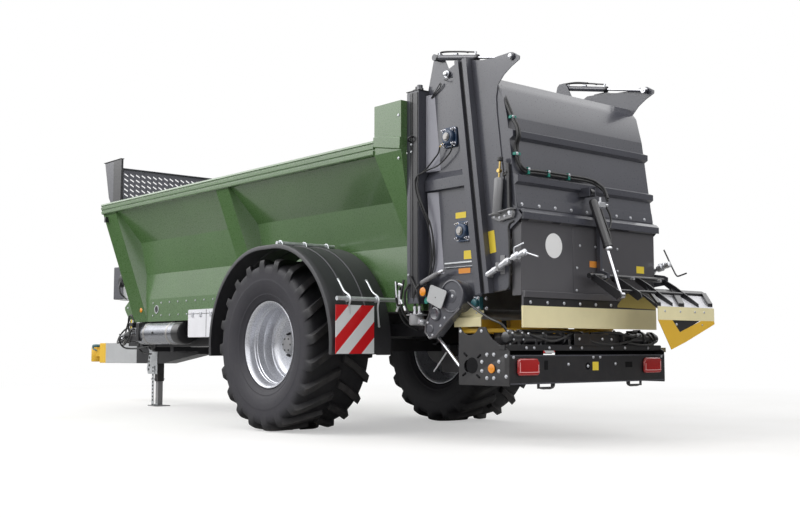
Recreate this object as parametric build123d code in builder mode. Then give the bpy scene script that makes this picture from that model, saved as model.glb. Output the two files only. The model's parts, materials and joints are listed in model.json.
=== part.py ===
from build123d import *
import os
from math import sqrt

os.makedirs("parts", exist_ok=True)

# Frame: +X towards the drawbar, +Y left, +Z up, ground at Z 0, X 0 midway along the machine.
# Lengths in millimetres.
axle_x = -1768


def ahead(x):
    """Station along the machine, counted from the axle."""
    return axle_x + x


def slab(x0, x1, y0, y1, z0, z1, mode=Mode.ADD):
    with Locations(((x0 + x1) / 2, (y0 + y1) / 2, (z0 + z1) / 2)):
        Box(abs(x1 - x0), abs(y1 - y0), abs(z1 - z0), mode=mode)


def prism(plane, points, depth, mode=Mode.ADD):
    with BuildSketch(plane) as outline:
        Polygon(*points, align=None)
    extrude(outline.sketch, amount=depth, mode=mode)


def side_plate(points, y_outer, thick, mode=Mode.ADD):
    """Plate parallel to XZ, from y_outer towards -Y by thick."""
    prism(Plane.XZ.offset(-y_outer), points, thick, mode)


def across(points, x_front, depth, mode=Mode.ADD):
    """Plate parallel to YZ, from x_front towards +X by depth."""
    prism(Plane.YZ.offset(x_front), points, depth, mode)


def bar(start, end, radius, mode=Mode.ADD):
    """Round bar from one point to the other."""
    run = Vector(*end) - Vector(*start)
    with BuildSketch(Plane(origin=start, z_dir=tuple(run.normalized()))) as ring:
        Circle(radius)
    extrude(ring.sketch, amount=run.length, mode=mode)


def tube_y(x, z, y0, y1, radius, mode=Mode.ADD):
    bar((x, y0, z), (x, y1, z), radius, mode)


# Running gear
tyre_radius = 805
tyre_width = 700
track_y = 1085
rim_seat_radius = 388
rim_flange_radius = 409
lug_count = 20
lug_height = 46
axle_size = 130

# Hopper
sheet = 8
floor_z = 1100
strip_top_z = floor_z + 280
fold_b = (660, floor_z + 590)
fold_a = (700, floor_z + 1000)
rail_bottom_z = floor_z + 1390
rail_height = 132
rail_top_z = rail_bottom_z + rail_height
post_foot_y = 685
front_foot_x = ahead(4120)
front_slope = 0.25
hopper_rear_x = ahead(-1470)
portal_front_x = ahead(-1100)
portal_top_z = rail_top_z + 308

# Beater housing and hood
housing_y = 808
cheek_y = housing_y + 68
plate_thick = 8
cylinder_y = housing_y + 30
pin_radius = 12
pin_gap = 0.1
gate_x = ahead(-1500)
hood_pin_x = ahead(-1945)
hood_pin_z = portal_top_z + 150
barrel_pin_x = hood_pin_x + 188
barrel_pin_z = hood_pin_z + 190
horn_pin_x = ahead(-2690)
horn_pin_z = hood_pin_z - 2
flap_pin_x = ahead(-2745)
flap_pin_z = 1800
beater_radius = 360
beater_upper = (ahead(-1911), 2552)
beater_lower = (ahead(-2070), 1738)

# Spreading discs
disc_x = ahead(-2150)
disc_y = 430
disc_z = 925
disc_radius = 360
vane_radius = 415
vane_height = 75

# Rear beam and drawbar
beam_y = 988
shelf_overhang = 8
beam_bottom_z = 489
beam_top_z = 716
coupling_x = ahead(6700)
coupling_z = 700
jack_x = ahead(4720)

post_rise = rail_bottom_z - 1150


def post_y(z):
    return post_foot_y + (979 - post_foot_y) * max(z - 1150, 0) / post_rise


def front_x(z):
    return front_foot_x + front_slope * (z - 1150)


wall_line = [
    (post_foot_y, floor_z),
    (post_foot_y, strip_top_z),
    fold_b,
    fold_a,
    (950, rail_bottom_z),
]


def wall_y(z):
    for (y0, z0), (y1, z1) in zip(wall_line, wall_line[1:]):
        if z0 <= z <= z1:
            return y0 + (y1 - y0) * (z - z0) / (z1 - z0)
    return wall_line[-1][0]


# Sides of the hopper: folded sheet, top rail, two hat posts
post_stations = [
    # rear edge ahead of axle at z 1150, flange width
    (3770, 350),
    (1070, 250),
]
post_web_slant = 0.36
post_levels = [floor_z + 2, strip_top_z, fold_b[1], fold_a[1], rail_bottom_z]

with BuildPart() as side_wall_left:
    inner = [(y - sheet, z) for y, z in wall_line]
    prism(
        Plane.YZ.offset(hopper_rear_x),
        wall_line + inner[::-1],
        ahead(4600) - hopper_rear_x,
    )
    rail_line = [
        (930, rail_bottom_z),
        (1000, rail_bottom_z),
        (1006, rail_bottom_z + 8),
        (1006, rail_bottom_z + 36),
        (997, rail_bottom_z + 42),
        (997, rail_bottom_z + 54),
        (1006, rail_bottom_z + 60),
        (1006, rail_bottom_z + 88),
        (997, rail_bottom_z + 94),
        (997, rail_bottom_z + 106),
        (1006, rail_bottom_z + 112),
        (1000, rail_bottom_z + rail_height),
        (930, rail_bottom_z + rail_height),
    ]
    prism(Plane.YZ.offset(portal_front_x), rail_line, ahead(4600) - portal_front_x)
    for rear_edge, flange in post_stations:
        sections = []
        for z in post_levels:
            x0 = ahead(rear_edge) + front_slope * (z - 1150)
            deep = max(post_y(z) - wall_y(z), 2)
            slant = post_web_slant * deep
            with BuildSketch(Plane.XY.offset(z), mode=Mode.PRIVATE) as section:
                Polygon(
                    (x0, post_y(z) + 2),
                    (x0 + flange, post_y(z) + 2),
                    (x0 + flange + slant, post_y(z) - deep - 2),
                    (x0 - slant, post_y(z) - deep - 2),
                    align=None,
                )
            sections.append(section.sketch)
        loft(sections, ruled=True)
    cut_plane = Plane(
        origin=(front_foot_x, 0, 1150),
        x_dir=(0, 1, 0),
        z_dir=(1, 0, -front_slope),
    )
    split(bisect_by=cut_plane, keep=Keep.BOTTOM)
side_wall_left.part.label = "side_wall_left"
export_step(side_wall_left.part, "parts/side_wall_left.step")

with BuildPart() as side_wall_right:
    mirror(side_wall_left.part, about=Plane.XZ)
side_wall_right.part.label = "side_wall_right"
export_step(side_wall_right.part, "parts/side_wall_right.step")

# Front wall: sheet with the hopper's section, leaning with the front posts
with BuildPart() as front_wall:
    left = [(wall_y(z) - sheet, z) for z in (floor_z + 12, strip_top_z, fold_b[1], fold_a[1], rail_bottom_z)]
    left += [(930, rail_bottom_z), (930, rail_bottom_z + rail_height)]
    right = [(-y, z) for y, z in left]
    across(left + right[::-1], ahead(3900), 800)
    lean = Plane(origin=(front_foot_x - 20, 0, 1150), x_dir=(0, 1, 0), z_dir=(1, 0, -front_slope))
    split(bisect_by=lean, keep=Keep.BOTTOM)
    split(bisect_by=lean.offset(-sheet), keep=Keep.TOP)
    for z in (1500, 1950, 2400):
        half = wall_y(z) - sheet - 40
        slab(front_x(z) - 30, front_x(z) + 40, -half, half, z, z + 60)
    slab(front_x(rail_top_z) - 43, front_x(rail_top_z) + 27, -920, 920, rail_top_z - 52, rail_top_z)
front_wall.part.label = "front_wall"
export_step(front_wall.part, "parts/front_wall.step")

# Perforated guard above the front wall
guard_x = ahead(4110)
with BuildPart() as front_guard:
    slab(guard_x, guard_x + 6, -930, 930, 2640, 3050)
    slab(guard_x - 30, guard_x + 6, -930, 930, 3040, 3060)
    for side in (1, -1):
        slab(guard_x - 60, guard_x + 20, side * 900, side * 940, 2622, 3170)
        wing = [
            (guard_x + 20, 2622),
            (guard_x + 190, 2622),
            (guard_x + 420, 3170),
            (guard_x + 20, 3170),
        ]
        side_plate(wing, 940 if side > 0 else -934, 6)
        slab(guard_x - 60, guard_x + 430, side * 900, side * 950, 3170, 3178)
front_guard.part.label = "front_guard"
export_step(front_guard.part, "parts/front_guard.step")

# Floor, with the chains and slats of its moving floor lying on it
floor_half = post_foot_y - sheet - 2
with BuildPart() as floor_plate:
    slab(ahead(-1690), front_x(floor_z) - 40, -floor_half, floor_half, floor_z, floor_z + 8)
floor_plate.part.label = "floor_plate"
export_step(floor_plate.part, "parts/floor_plate.step")

slat_pitch = 420
chain_ys = (-560, -190, 190, 560)
with BuildPart() as floor_conveyor:
    for y in chain_ys:
        slab(ahead(-1740), ahead(3990), y - 18, y + 18, floor_z + 8.5, floor_z + 24)
    with Locations(*[(ahead(-1560 + slat_pitch * i), 0, floor_z + 28) for i in range(13)]):
        Box(50, 1290, 38)
    tube_y(ahead(-1745), floor_z - 35, -800, 800, 50)
floor_conveyor.part.label = "floor_conveyor"
export_step(floor_conveyor.part, "parts/floor_conveyor.step")

# Portal that carries the sluice gate: two tapered columns and a beam over them
column_levels = [
    # height, front x, outer y
    (floor_z, ahead(-1420), 730),
    (strip_top_z, ahead(-1418), 790),
    (fold_b[1], ahead(-1410), 860),
    (fold_a[1], ahead(-1255), 926),
    (rail_bottom_z, portal_front_x, 992),
]
with BuildPart() as rear_portal:
    for side in (1, -1):
        sections = []
        for z, x_front, y_out in column_levels:
            y_in = wall_y(z) + 0.5
            with BuildSketch(Plane.XY.offset(z), mode=Mode.PRIVATE) as section:
                Polygon(
                    (hopper_rear_x, side * y_in),
                    (x_front, side * y_in),
                    (x_front, side * y_out),
                    (hopper_rear_x, side * y_out),
                    align=None,
                )
            sections.append(section.sketch)
        loft(sections, ruled=True)
        slab(hopper_rear_x, portal_front_x - 2, side * 862, side * 992, rail_bottom_z, portal_top_z)
    slab(hopper_rear_x, hopper_rear_x + 90, -960, 960, portal_top_z - 90, portal_top_z)
rear_portal.part.label = "rear_portal"
export_step(rear_portal.part, "parts/rear_portal.step")

# Guide posts of the sluice gate with their head beam
post_rear_x = ahead(-1620)
post_top_z = portal_top_z + 70
with BuildPart() as gate_frame:
    for side in (1, -1):
        channel = [
            (ahead(-1520), 800),
            (post_rear_x, 800),
            (post_rear_x, 920),
            (hopper_rear_x, 920),
            (hopper_rear_x, 894),
            (ahead(-1594), 894),
            (ahead(-1594), 826),
            (ahead(-1520), 826),
        ]
        prism(Plane.XY.offset(1150), [(x, side * y) for x, y in channel], post_top_z - 1150)
        slab(post_rear_x, ahead(-1520), side * 800, side * 920, post_top_z, post_top_z + 8)
        with Locations((ahead(-1570), side * 860, post_top_z + 34)):
            Cylinder(26, 54)
    slab(post_rear_x, ahead(-1560), -802, 802, post_top_z - 60, post_top_z)
gate_frame.part.label = "gate_frame"
export_step(gate_frame.part, "parts/gate_frame.step")

gate_travel = 1150
block_top_z = post_top_z - gate_travel - 20
with BuildPart() as gate:
    slab(gate_x, gate_x + 8, -640, 640, 1150, 2440)
    for z in (1190, 1750, 2340):
        slab(gate_x + 8, gate_x + 22, -600, 600, z, z + 50)
    slab(gate_x - 8, gate_x + 22, -860, 860, block_top_z - 40, block_top_z)
    for side in (1, -1):
        slab(ahead(-1586), gate_x + 10, side * 833, side * 887, block_top_z - 190, block_top_z)
        for z in (block_top_z - 180, block_top_z - 60):
            slab(ahead(-1580), ahead(-1530), side * 826.1, side * 893.9, z, z + 40)
gate.part.label = "gate"
export_step(gate.part, "parts/gate.step")

# Chassis: two long rails, cross members, arms behind the axle for the rear beam
rail_in = 400
rail_out = 500
rail_foot_z = 880
arm_x = ahead(-2690)
tube_x = ahead(-2290)
tube_z = 628
with BuildPart() as chassis_frame:
    rail_side = [
        (ahead(-1550), rail_foot_z),
        (ahead(1100), rail_foot_z),
        (ahead(1300), 790),
        (ahead(4088), 790),
        (ahead(4088), 1000),
        (ahead(-1550), 1000),
    ]
    for side in (1, -1):
        side_plate(rail_side, rail_out if side > 0 else -rail_in, rail_out - rail_in)
        slab(ahead(-1450), ahead(-1550), side * rail_in, side * rail_out, 560, rail_foot_z)
        slab(arm_x, ahead(-1450), side * rail_in, side * rail_out, 560, 700)
        slab(ahead(-2560), ahead(-2480), side * rail_in, side * rail_out, 700, 764)
    member_xs = [
        # station, half length, width
        (4000, 600, 88),
        (3400, 500, 60),
        (2650, 676, 60),
        (1400, 676, 60),
        (300, 676, 60),
        (-700, 676, 60),
        (-1400, 676, 60),
    ]
    for station, half, width in member_xs:
        slab(ahead(station), ahead(station + width), -half, half, 940, floor_z)
    slab(ahead(-1560), ahead(-1660), -housing_y, housing_y, 900, 986)
    slab(ahead(-1560), ahead(-1500), -rail_out, rail_out, 900, 986)
    tube_y(tube_x, tube_z, -978, 978, 60)
    tube_y(tube_x, tube_z, -978, 978, 50, Mode.SUBTRACT)
    # stub shaft that takes the drive from the tractor
    slab(ahead(3960), ahead(4088), -90, 90, 900, 1090)
    bar((ahead(4080), 0, 990), (ahead(4190), 0, 990), 17.4)
chassis_frame.part.label = "chassis_frame"
export_step(chassis_frame.part, "parts/chassis_frame.step")

with BuildPart() as axle:
    hub_face_y = track_y - 205
    axle_top_z = rail_foot_z - 10
    slab(ahead(-65), ahead(65), 80 - hub_face_y, hub_face_y - 80, axle_top_z - axle_size, axle_top_z)
    for side in (1, -1):
        slab(ahead(-520), ahead(520), side * 415, side * 485, axle_top_z - 4, rail_foot_z)
        slab(ahead(-420), ahead(420), side * 415, side * 485, axle_top_z - 18, axle_top_z - 4)
        tube_y(ahead(0), tyre_radius, side * (hub_face_y - 90), side * hub_face_y, 190)
        tube_y(ahead(0), tyre_radius, side * hub_face_y, side * (hub_face_y + 130), 45)
axle.part.label = "axle"
export_step(axle.part, "parts/axle.step")

# Drawbar with a well for the parking jack
jack_tube_half = 45
with BuildPart() as drawbar:
    bar_side = [
        (ahead(3500), 790),
        (ahead(3500), 700),
        (ahead(4450), 572),
        (ahead(6350), 562),
        (ahead(6350), 850),
        (ahead(5300), 850),
        (ahead(4150), 880),
        (ahead(4092), 880),
        (ahead(4092), 790),
    ]
    side_plate(bar_side, 110, 220)
    for side in (1, -1):
        slab(ahead(3500), ahead(3580), side * 100, side * 460, 730, 790)
        slab(ahead(3980), ahead(4060), side * 100, side * 460, 730, 790)
    slab(
        jack_x - jack_tube_half, jack_x + jack_tube_half,
        -jack_tube_half, jack_tube_half, 500, 900, Mode.SUBTRACT,
    )
drawbar.part.label = "drawbar"
export_step(drawbar.part, "parts/drawbar.step")

ball_radius = 40
with BuildPart() as coupling:
    slab(ahead(6350), ahead(6374), -100, 100, 575, 840)
    slab(ahead(6374), coupling_x - 30, -45, 45, 655, 760)
    with Locations((coupling_x, 0, coupling_z + 5)):
        Cylinder(72, 110)
    with Locations((coupling_x, 0, coupling_z - 10)):
        Sphere(ball_radius + 1, mode=Mode.SUBTRACT)
    with Locations((coupling_x, 0, coupling_z - 35)):
        Cylinder(ball_radius + 1, 50, mode=Mode.SUBTRACT)
coupling.part.label = "coupling"
export_step(coupling.part, "parts/coupling.step")

with BuildPart() as jack_tube:
    slab(
        jack_x - jack_tube_half, jack_x + jack_tube_half,
        -jack_tube_half, jack_tube_half, 330, 900,
    )
    slab(jack_x - 40, jack_x + 40, -40, 40, 320, 890, Mode.SUBTRACT)
    slab(jack_x - 70, jack_x + 70, -70, 70, 880, 890)
    slab(jack_x - 40, jack_x + 40, -40, 40, 320, 890, Mode.SUBTRACT)
jack_tube.part.label = "jack_tube"
export_step(jack_tube.part, "parts/jack_tube.step")

with BuildPart() as jack_leg:
    slab(jack_x - 35, jack_x + 35, -35, 35, 10, 575)
    slab(jack_x - 130, jack_x + 130, -100, 100, 0, 12)
    for z in (390, 540):
        slab(jack_x - 39.9, jack_x + 39.9, -39.9, 39.9, z, z + 30)
jack_leg.part.label = "jack_leg"
export_step(jack_leg.part, "parts/jack_leg.step")

tank_y = 640
tank_z = 955
tank_radius = 135
with BuildPart() as air_tank:
    bar((ahead(2850), tank_y, tank_z), (ahead(3950), tank_y, tank_z), tank_radius)
    chamfer(air_tank.edges().filter_by(GeomType.CIRCLE), 30)
    for station in (3050, 3750):
        slab(ahead(station), ahead(station + 50), rail_out, tank_y, 900, 1000)
air_tank.part.label = "air_tank"
export_step(air_tank.part, "parts/air_tank.step")

with BuildPart() as storage_box:
    slab(ahead(1930), ahead(2540), post_foot_y, 800, 898, 1214)
    fillet(storage_box.edges().filter_by(Axis.Y), 20)
storage_box.part.label = "storage_box"
export_step(storage_box.part, "parts/storage_box.step")

with BuildPart() as valve_block:
    slab(ahead(4088), ahead(4300), 150, 560, 820, 990)
    for y in (220, 320, 420, 520):
        slab(ahead(4130), ahead(4260), y - 30, y + 30, 990, 1080)
valve_block.part.label = "valve_block"
export_step(valve_block.part, "parts/valve_block.step")

with BuildPart() as control_box:
    slab(ahead(4330), ahead(4640), 330, 640, 1400, 1830)
    slab(front_x(1480) - 20, ahead(4330), 420, 560, 1430, 1480)
control_box.part.label = "control_box"
export_step(control_box.part, "parts/control_box.step")

# Mudguards with their cross tubes, and the boards behind them
guard_radius = 925
guard_front_x = ahead(80)
guard_rear_x = ahead(-120)
guard_in = track_y - 343
guard_out = track_y + 335
guard_top_z = tyre_radius + guard_radius
stay_rise = 395
stay_z = tyre_radius + stay_rise
arch_rear_x = guard_rear_x - sqrt(guard_radius**2 - stay_rise**2)
stay_x = arch_rear_x - 134
with BuildPart() as mudguard_left:
    with BuildSketch(Plane.XZ.offset(-guard_out)) as arch:
        with Locations((guard_front_x, tyre_radius)):
            Circle(guard_radius)
        with Locations((guard_rear_x, tyre_radius)):
            Circle(guard_radius)
        with Locations(((guard_front_x + guard_rear_x) / 2, tyre_radius)):
            Rectangle(guard_front_x - guard_rear_x, 2 * guard_radius)
        offset(amount=-5, mode=Mode.SUBTRACT)
        with Locations((ahead(0), tyre_radius - 110 - 600)):
            Rectangle(2600, 1200, mode=Mode.SUBTRACT)
    extrude(arch.sketch, amount=guard_out - guard_in)
    tube_y(ahead(-125), guard_top_z + 18, wall_y(guard_top_z + 45), guard_out - 20, 20)
    tube_y(stay_x, stay_z, post_foot_y, guard_out - 20, 20)
    for y in (900, 1250):
        slab(stay_x, arch_rear_x + 6, y, y + 30, stay_z - 10, stay_z + 10)
    slab(stay_x, stay_x + 24, 1100, 1130, stay_z - 400, stay_z)
mudguard_left.part.label = "mudguard_left"
export_step(mudguard_left.part, "parts/mudguard_left.step")

with BuildPart() as mudguard_right:
    mirror(mudguard_left.part, about=Plane.XZ)
mudguard_right.part.label = "mudguard_right"
export_step(mudguard_right.part, "parts/mudguard_right.step")

board_size = 423
with BuildPart() as warning_board_left:
    foot_z = stay_z - 478
    slab(stay_x - 6, stay_x, 985, 985 + board_size, foot_z, foot_z + board_size)
warning_board_left.part.label = "warning_board_left"
export_step(warning_board_left.part, "parts/warning_board_left.step")

with BuildPart() as warning_board_right:
    mirror(warning_board_left.part, about=Plane.XZ)
warning_board_right.part.label = "warning_board_right"
export_step(warning_board_right.part, "parts/warning_board_right.step")

# Wheels
bead_half = 271
rim_line = [
    # radius, offset from the wheel's middle
    (rim_seat_radius - 12, -286),
    (rim_flange_radius, -286),
    (rim_flange_radius, -272),
    (rim_seat_radius, -272),
    (rim_seat_radius, 272),
    (rim_flange_radius, 272),
    (rim_flange_radius, 286),
    (rim_seat_radius - 12, 286),
    (rim_seat_radius - 12, 20),
    (rim_seat_radius - 110, -60),
    (110, -60),
    (110, -5),
    (95, 10),
    (45 + pin_gap, 10),
    (45 + pin_gap, -150),
    (140, -150),
    (140, -78),
    (rim_seat_radius - 100, -78),
    (rim_seat_radius - 12, -20),
]
half_width = tyre_width / 2
tread_radius = tyre_radius - lug_height
tyre_line = [
    (rim_seat_radius + 0.3, -bead_half),
    (rim_flange_radius + 8, -bead_half),
    (rim_flange_radius + 14, -half_width + 40),
    (560, -half_width),
    (tread_radius - 72, -half_width + 4),
    (tread_radius, -half_width + 48),
]
tyre_line = tyre_line + [(r, -y) for r, y in reversed(tyre_line)]


def turned(line, y_middle, side):
    """Ring with the given section round the wheel's axis."""
    with BuildSketch(Plane.YZ.offset(ahead(0))) as section:
        Polygon(*[(y_middle + side * y, tyre_radius + r) for r, y in line], align=None)
    hub = Axis((ahead(0), 0, tyre_radius), (0, 1, 0))
    revolve(section.sketch, axis=hub)


with BuildPart() as rim_left:
    turned(rim_line, track_y, 1)
rim_left.part.label = "rim_left"
export_step(rim_left.part, "parts/rim_left.step")

with BuildPart() as rim_right:
    mirror(rim_left.part, about=Plane.XZ)
rim_right.part.label = "rim_right"
export_step(rim_right.part, "parts/rim_right.step")

# Lugs of the tread: a chevron whose outer ends lag behind its middle where it leaves the ground
lug_levels = [
    # distance from the tyre's middle, turn, half width at root and tip, root and tip radius
    (12, 0, 40, 33, tread_radius - 12, tyre_radius),
    (half_width - 50, 13, 50, 40, tread_radius - 14, tyre_radius - 3),
    (half_width - 3, 15.5, 56, 44, tread_radius - 90, tyre_radius - 52),
]


def tread_lug(side, turned_by):
    """One lug on the given half of the tread, lofted outwards from the middle."""
    sections = []
    for distance, turn, root_half, tip_half, root, tip in lug_levels:
        y = track_y + side * distance
        across_lug = [(root, -root_half), (tip, -tip_half), (tip, tip_half), (root, root_half)]
        with BuildSketch(Plane.XZ.offset(-y), mode=Mode.PRIVATE) as section:
            with Locations(Location((ahead(0), tyre_radius), 180 + turned_by + turn)):
                Polygon(*[(sqrt(r**2 - w**2), w) for r, w in across_lug], align=None)
        sections.append(section.sketch)
    loft(sections, ruled=True)


with BuildPart() as tyre_left:
    turned(tyre_line, track_y, 1)
    for i in range(lug_count):
        tread_lug(1, i * 360 / lug_count)
        tread_lug(-1, (i + 0.5) * 360 / lug_count)
tyre_left.part.label = "tyre_left"
export_step(tyre_left.part, "parts/tyre_left.step")

with BuildPart() as tyre_right:
    mirror(tyre_left.part, about=Plane.XZ)
tyre_right.part.label = "tyre_right"
export_step(tyre_right.part, "parts/tyre_right.step")

# Beaters: a tube with toothed paddles set round it in a spiral
shaft_radius = 30
core_radius = 85
core_half = 780
paddle_count = 16
paddle_turn = 67.5
paddle_thick = 14
paddle_width = 90


def beater(x, z, hand):
    tube_y(x, z, -core_half, core_half, core_radius)
    tube_y(x, z, -830, 830, shaft_radius)
    pitch = 2 * (core_half - 50) / (paddle_count - 1)
    for i in range(paddle_count):
        y = -core_half + 50 + i * pitch
        with BuildSketch(Plane.XZ.offset(-y - paddle_thick / 2)) as blades:
            with Locations((x, z)):
                with PolarLocations(0, 2, start_angle=hand * i * paddle_turn):
                    Polygon(
                        (core_radius - 12, -paddle_width / 2),
                        (beater_radius - 40, -paddle_width / 2),
                        (beater_radius - 8, -paddle_width / 4),
                        (beater_radius - 8, paddle_width / 2),
                        (core_radius - 12, paddle_width / 2),
                        align=None,
                    )
        extrude(blades.sketch, amount=paddle_thick)


with BuildPart() as beater_upper_rotor:
    beater(*beater_upper, 1)
beater_upper_rotor.part.label = "beater_upper"
export_step(beater_upper_rotor.part, "parts/beater_upper.step")

with BuildPart() as beater_lower_rotor:
    beater(*beater_lower, -1)
beater_lower_rotor.part.label = "beater_lower"
export_step(beater_lower_rotor.part, "parts/beater_lower.step")

# Beater housing: two side plates joined by beams, with a folded ledge, bearing flanges and pin bosses
ledge_z = 2115
ledge_deep = 44
with BuildPart() as beater_housing:
    plate_line = [
        (post_rear_x, 986),
        (post_rear_x, post_top_z),
        (barrel_pin_x + 57, barrel_pin_z + 15),
        (barrel_pin_x + 32, barrel_pin_z + 38),
        (barrel_pin_x - 33, barrel_pin_z + 38),
        (barrel_pin_x - 58, barrel_pin_z + 15),
        (hood_pin_x + 70, hood_pin_z + 85),
        (hood_pin_x + 20, hood_pin_z + 42),
        (hood_pin_x - 20, hood_pin_z + 38),
        (hood_pin_x - 40, hood_pin_z + 15),
        (hood_pin_x - 40, hood_pin_z - 30),
        (hood_pin_x - 85, hood_pin_z - 100),
        (ahead(-2270), 1150),
        (ahead(-2250), 1100),
        (ahead(-1700), 1100),
        (ahead(-1660), 986),
    ]
    for side in (1, -1):
        side_plate(plate_line, housing_y if side > 0 else -housing_y + plate_thick, plate_thick)
        ledge = [
            (side * (housing_y - 2), ledge_z),
            (side * (housing_y + ledge_deep), ledge_z),
            (side * (housing_y + ledge_deep), ledge_z + 90),
            (side * (housing_y - 2), ledge_z + 155),
        ]
        across(ledge, ahead(-2110), post_rear_x - 6 - ahead(-2110))
        for x, z in (beater_upper, beater_lower):
            slab(x - 80, x + 80, side * housing_y, side * (housing_y + 18), z - 80, z + 80)
            tube_y(x, z, side * housing_y, side * (housing_y + 40), 58)
        for x, z in (beater_upper, beater_lower):
            tube_y(x, z, side * 780, side * 900, shaft_radius + pin_gap, Mode.SUBTRACT)
        bar(
            (barrel_pin_x, side * (housing_y - 4), barrel_pin_z),
            (barrel_pin_x, side * 862, barrel_pin_z), pin_radius,
        )
        bar(
            (hood_pin_x, side * (housing_y - 4), hood_pin_z),
            (hood_pin_x, side * (cheek_y + 14), hood_pin_z), 20,
        )
    slab(post_rear_x, ahead(-1700), -housing_y + 4, housing_y - 4, post_top_z - 60, post_top_z)
beater_housing.part.label = "beater_housing"
export_step(beater_housing.part, "parts/beater_housing.step")

with BuildPart() as side_skirt_left:
    skirt_foot_z = disc_z + vane_height + 12
    slab(ahead(-1960), ahead(-2250), housing_y - plate_thick, housing_y, skirt_foot_z, 1100)
side_skirt_left.part.label = "side_skirt_left"
export_step(side_skirt_left.part, "parts/side_skirt_left.step")

with BuildPart() as side_skirt_right:
    mirror(side_skirt_left.part, about=Plane.XZ)
side_skirt_right.part.label = "side_skirt_right"
export_step(side_skirt_right.part, "parts/side_skirt_right.step")

# Gear case on the left, with its arm down to the floor drive
case_x = ahead(-2040)
case_z = 1190
with BuildPart() as drive_case:
    tube_y(case_x, case_z, housing_y, 925, 130)
    with BuildSketch(Plane.XZ.offset(-925)) as arm:
        with BuildLine():
            Polyline(
                (case_x + 60, case_z + 90), (ahead(-1720), 990), (ahead(-1690), 900),
                (ahead(-1760), 850), (ahead(-1850), 870), (case_x - 110, case_z - 60),
                close=True,
            )
        make_face()
    extrude(arm.sketch, amount=80)
drive_case.part.label = "drive_case"
export_step(drive_case.part, "parts/drive_case.step")

# Spreading discs on their gear beam
with BuildPart() as disc_gearbox:
    slab(ahead(-2620), ahead(-2440), -840, 840, 764, 860)
    for side in (1, -1):
        slab(ahead(-2440), disc_x, side * 350, side * 510, 770, 860)
        with Locations((disc_x, side * disc_y, 832)):
            Cylinder(90, 136)
        with Locations((disc_x, side * disc_y, 850)):
            Cylinder(25 + pin_gap, 120, mode=Mode.SUBTRACT)
disc_gearbox.part.label = "disc_gearbox"
export_step(disc_gearbox.part, "parts/disc_gearbox.step")


def spreading_disc(side):
    with Locations((disc_x, side * disc_y, disc_z)):
        Cylinder(disc_radius, 8)
        Cylinder(70, 30)
    with Locations((disc_x, side * disc_y, 860)):
        Cylinder(25, 110)
    with BuildSketch(Plane.XY.offset(disc_z + 4)) as vanes:
        with Locations((disc_x, side * disc_y)):
            with PolarLocations(0, 4, start_angle=side * 20):
                Polygon((60, -4), (vane_radius, -34), (vane_radius, -26), (60, 4), align=None)
    extrude(vanes.sketch, amount=vane_height)


with BuildPart() as disc_left:
    spreading_disc(1)
disc_left.part.label = "disc_left"
export_step(disc_left.part, "parts/disc_left.step")

with BuildPart() as disc_right:
    spreading_disc(-1)
disc_right.part.label = "disc_right"
export_step(disc_right.part, "parts/disc_right.step")

# Rear beam with its side consoles and lashing loops
beam_face_x = ahead(-2740)
with BuildPart() as rear_beam:
    slab(beam_face_x, arm_x, -beam_y, beam_y, beam_bottom_z, beam_top_z)
    console = [
        (ahead(-2180), 478),
        (ahead(-2180), 935),
        (ahead(-2486), 935),
        (ahead(-2512), 888),
        (ahead(-2557), 842),
        (ahead(-2638), 795),
        (ahead(-2696), 774),
        (beam_face_x, beam_top_z + 29),
        (beam_face_x, 478),
    ]
    shelf_y = beam_y + shelf_overhang
    slab(ahead(-2700), ahead(-2626), -shelf_y, shelf_y, 758, 792)
    for side in (1, -1):
        side_plate(console, beam_y - 2 if side > 0 else -978, 8)
        tube_y(tube_x, tube_z, side * 970, side * (beam_y + 4), 50, Mode.SUBTRACT)
        tube_y(ahead(-2305), 990, side * 970, side * (beam_y + 4), 118, Mode.SUBTRACT)
        slab(beam_face_x + 4, beam_face_x + 16, side * 480, side * 660, 452, beam_bottom_z + 4)
        slab(beam_face_x, beam_face_x + 20, side * 500, side * 640, 466, beam_bottom_z - 1, Mode.SUBTRACT)
rear_beam.part.label = "rear_beam"
export_step(rear_beam.part, "parts/rear_beam.step")

with BuildPart() as tail_lamp_left:
    slab(beam_face_x - 26, beam_face_x, 715, 885, 560, 686)
    fillet(tail_lamp_left.edges().filter_by(Axis.X), 24)
tail_lamp_left.part.label = "tail_lamp_left"
export_step(tail_lamp_left.part, "parts/tail_lamp_left.step")

with BuildPart() as tail_lamp_right:
    mirror(tail_lamp_left.part, about=Plane.XZ)
tail_lamp_right.part.label = "tail_lamp_right"
export_step(tail_lamp_right.part, "parts/tail_lamp_right.step")

# Hood: horned cheeks, grooved posts, ribbed wall with two folds at its top, roof, cover over the hinge tube
wall_brow = (ahead(-2490), hood_pin_z - 140)
upper_fold = (ahead(-2570), hood_pin_z - 245)
wall_top = (ahead(-2626), hood_pin_z - 470)
wall_foot = (flap_pin_x + 13, flap_pin_z + 42)


def wall_x(z):
    share = (z - wall_foot[1]) / (wall_top[1] - wall_foot[1])
    return wall_foot[0] + (wall_top[0] - wall_foot[0]) * share


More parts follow.
